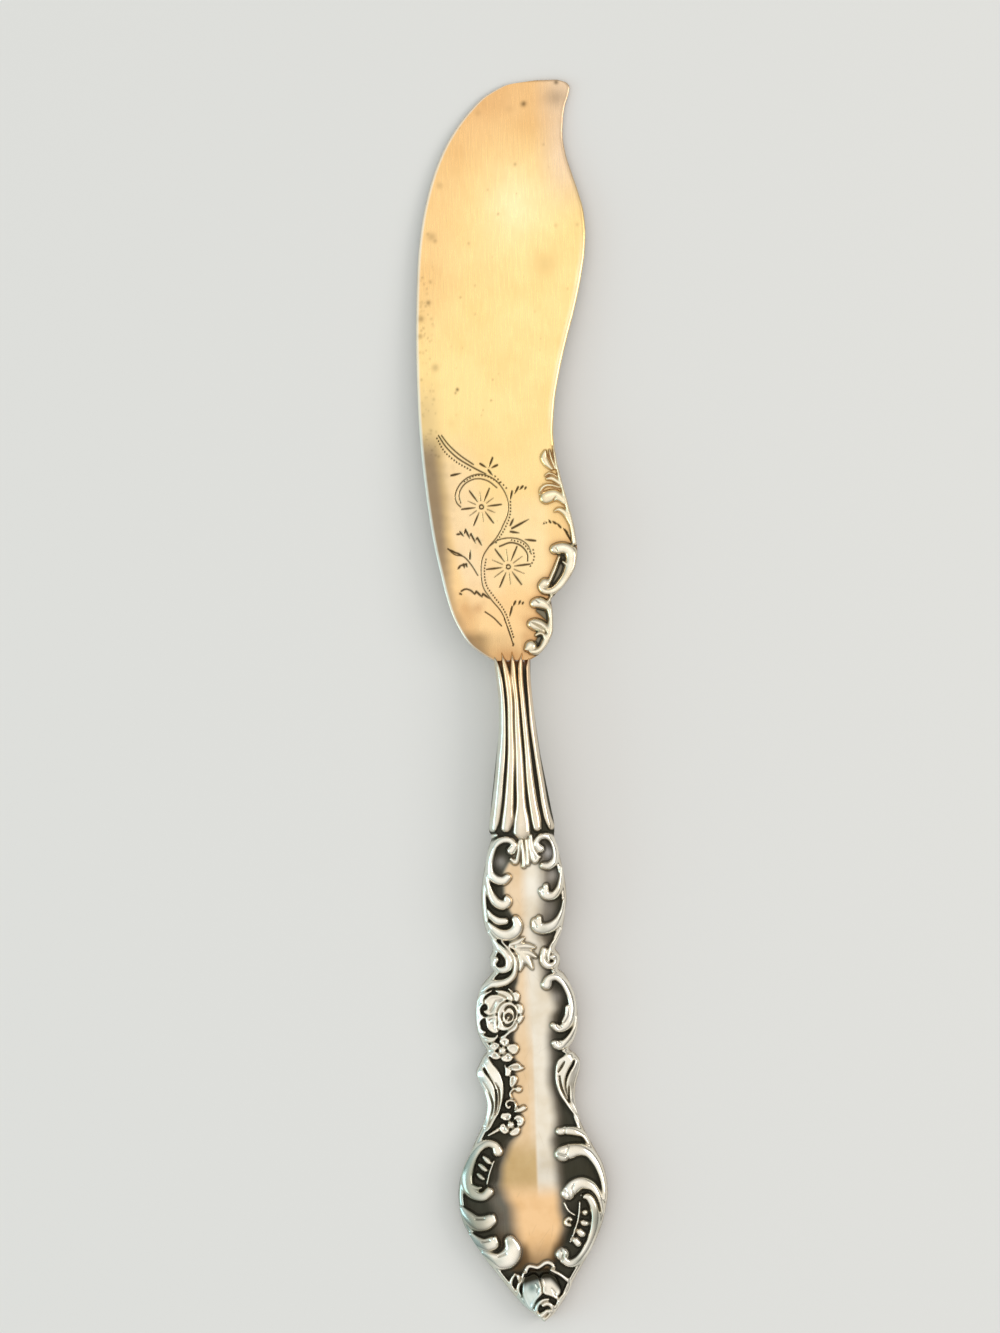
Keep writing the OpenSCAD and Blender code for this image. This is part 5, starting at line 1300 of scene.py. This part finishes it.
def light_room():
    """Soft light from all round: stronger from above and from the left, where it is cooler."""
    world = bpy.data.worlds.new("studio")
    bpy.context.scene.world = world
    world.use_nodes = True
    nodes, links = world.node_tree.nodes, world.node_tree.links
    place = nodes.new("ShaderNodeTexCoord")
    split = nodes.new("ShaderNodeSeparateXYZ")
    links.new(place.outputs["Generated"], split.inputs["Vector"])
    height = ranged(nodes, links, split.outputs["Z"], 0.0, 1.0, 0.16, 0.98)
    side = ranged(nodes, links, split.outputs["X"], -1.0, 1.0, 0.25, -0.04)
    links.new(summed(nodes, links, height, side), nodes["Background"].inputs["Strength"])
    tone = nodes.new("ShaderNodeValToRGB")
    tone.color_ramp.elements[0].color = (0.8, 0.96, 1.0, 1)
    tone.color_ramp.elements[1].color = (1.0, 0.985, 0.96, 1)
    links.new(ranged(nodes, links, split.outputs["X"], -1.0, -0.3, 0.0, 1.0), tone.inputs["Fac"])
    links.new(tone.outputs["Color"], nodes["Background"].inputs["Color"])


def hang_lamp(name, spot, aim, size, power, colour):
    """Square lamp at a spot, turned to what it aims at."""
    lamp = bpy.data.lights.new(name, "AREA")
    lamp.size = size
    lamp.energy = power
    lamp.color = colour
    light = bpy.data.objects.new(name, lamp)
    light.location = spot
    away = np.array(spot) - np.array(aim)
    tilt = math.acos(away[2] / np.linalg.norm(away))
    turn = math.atan2(away[1], away[0]) + math.pi / 2
    light.rotation_euler = (tilt, 0, turn)
    bpy.context.scene.collection.objects.link(light)


def set_camera():
    """Camera straight above, with the knife as it lies in the photograph."""
    # The frame's long side spans this length at the knife's mid height
    frame_length, mid_height = 0.19955, 0.0035
    lens, sensor = 135, 36
    camera = bpy.data.cameras.new("camera")
    camera.lens = lens
    camera.sensor_width = sensor
    camera.clip_start = 0.01
    eye = bpy.data.objects.new("camera", camera)
    eye.location = (-0.00205, 0.00515, mid_height + frame_length * lens / sensor)
    eye.rotation_euler = (0, 0, math.radians(-1.974))
    bpy.context.scene.collection.objects.link(eye)
    bpy.context.scene.camera = eye
    bpy.context.scene.view_settings.view_transform = "Standard"


def build_stage():
    """Floor, studio light and camera."""
    lay_floor()
    light_room()
    hang_lamp("overhead", (-0.006, 0.196, 0.60), (0.0, 0.07, 0), 0.1, 0.025, (1.0, 0.97, 0.92))
    hang_lamp("right", (0.62, 0.05, 0.50), (0, 0, 0), 0.42, 1.3, (1.0, 0.97, 0.93))
    hang_lamp("left", (-0.75, -0.15, 0.22), (0, -0.03, 0), 0.45, 1.3, (0.62, 0.91, 1.0))
    set_camera()


build_knife()
build_stage()
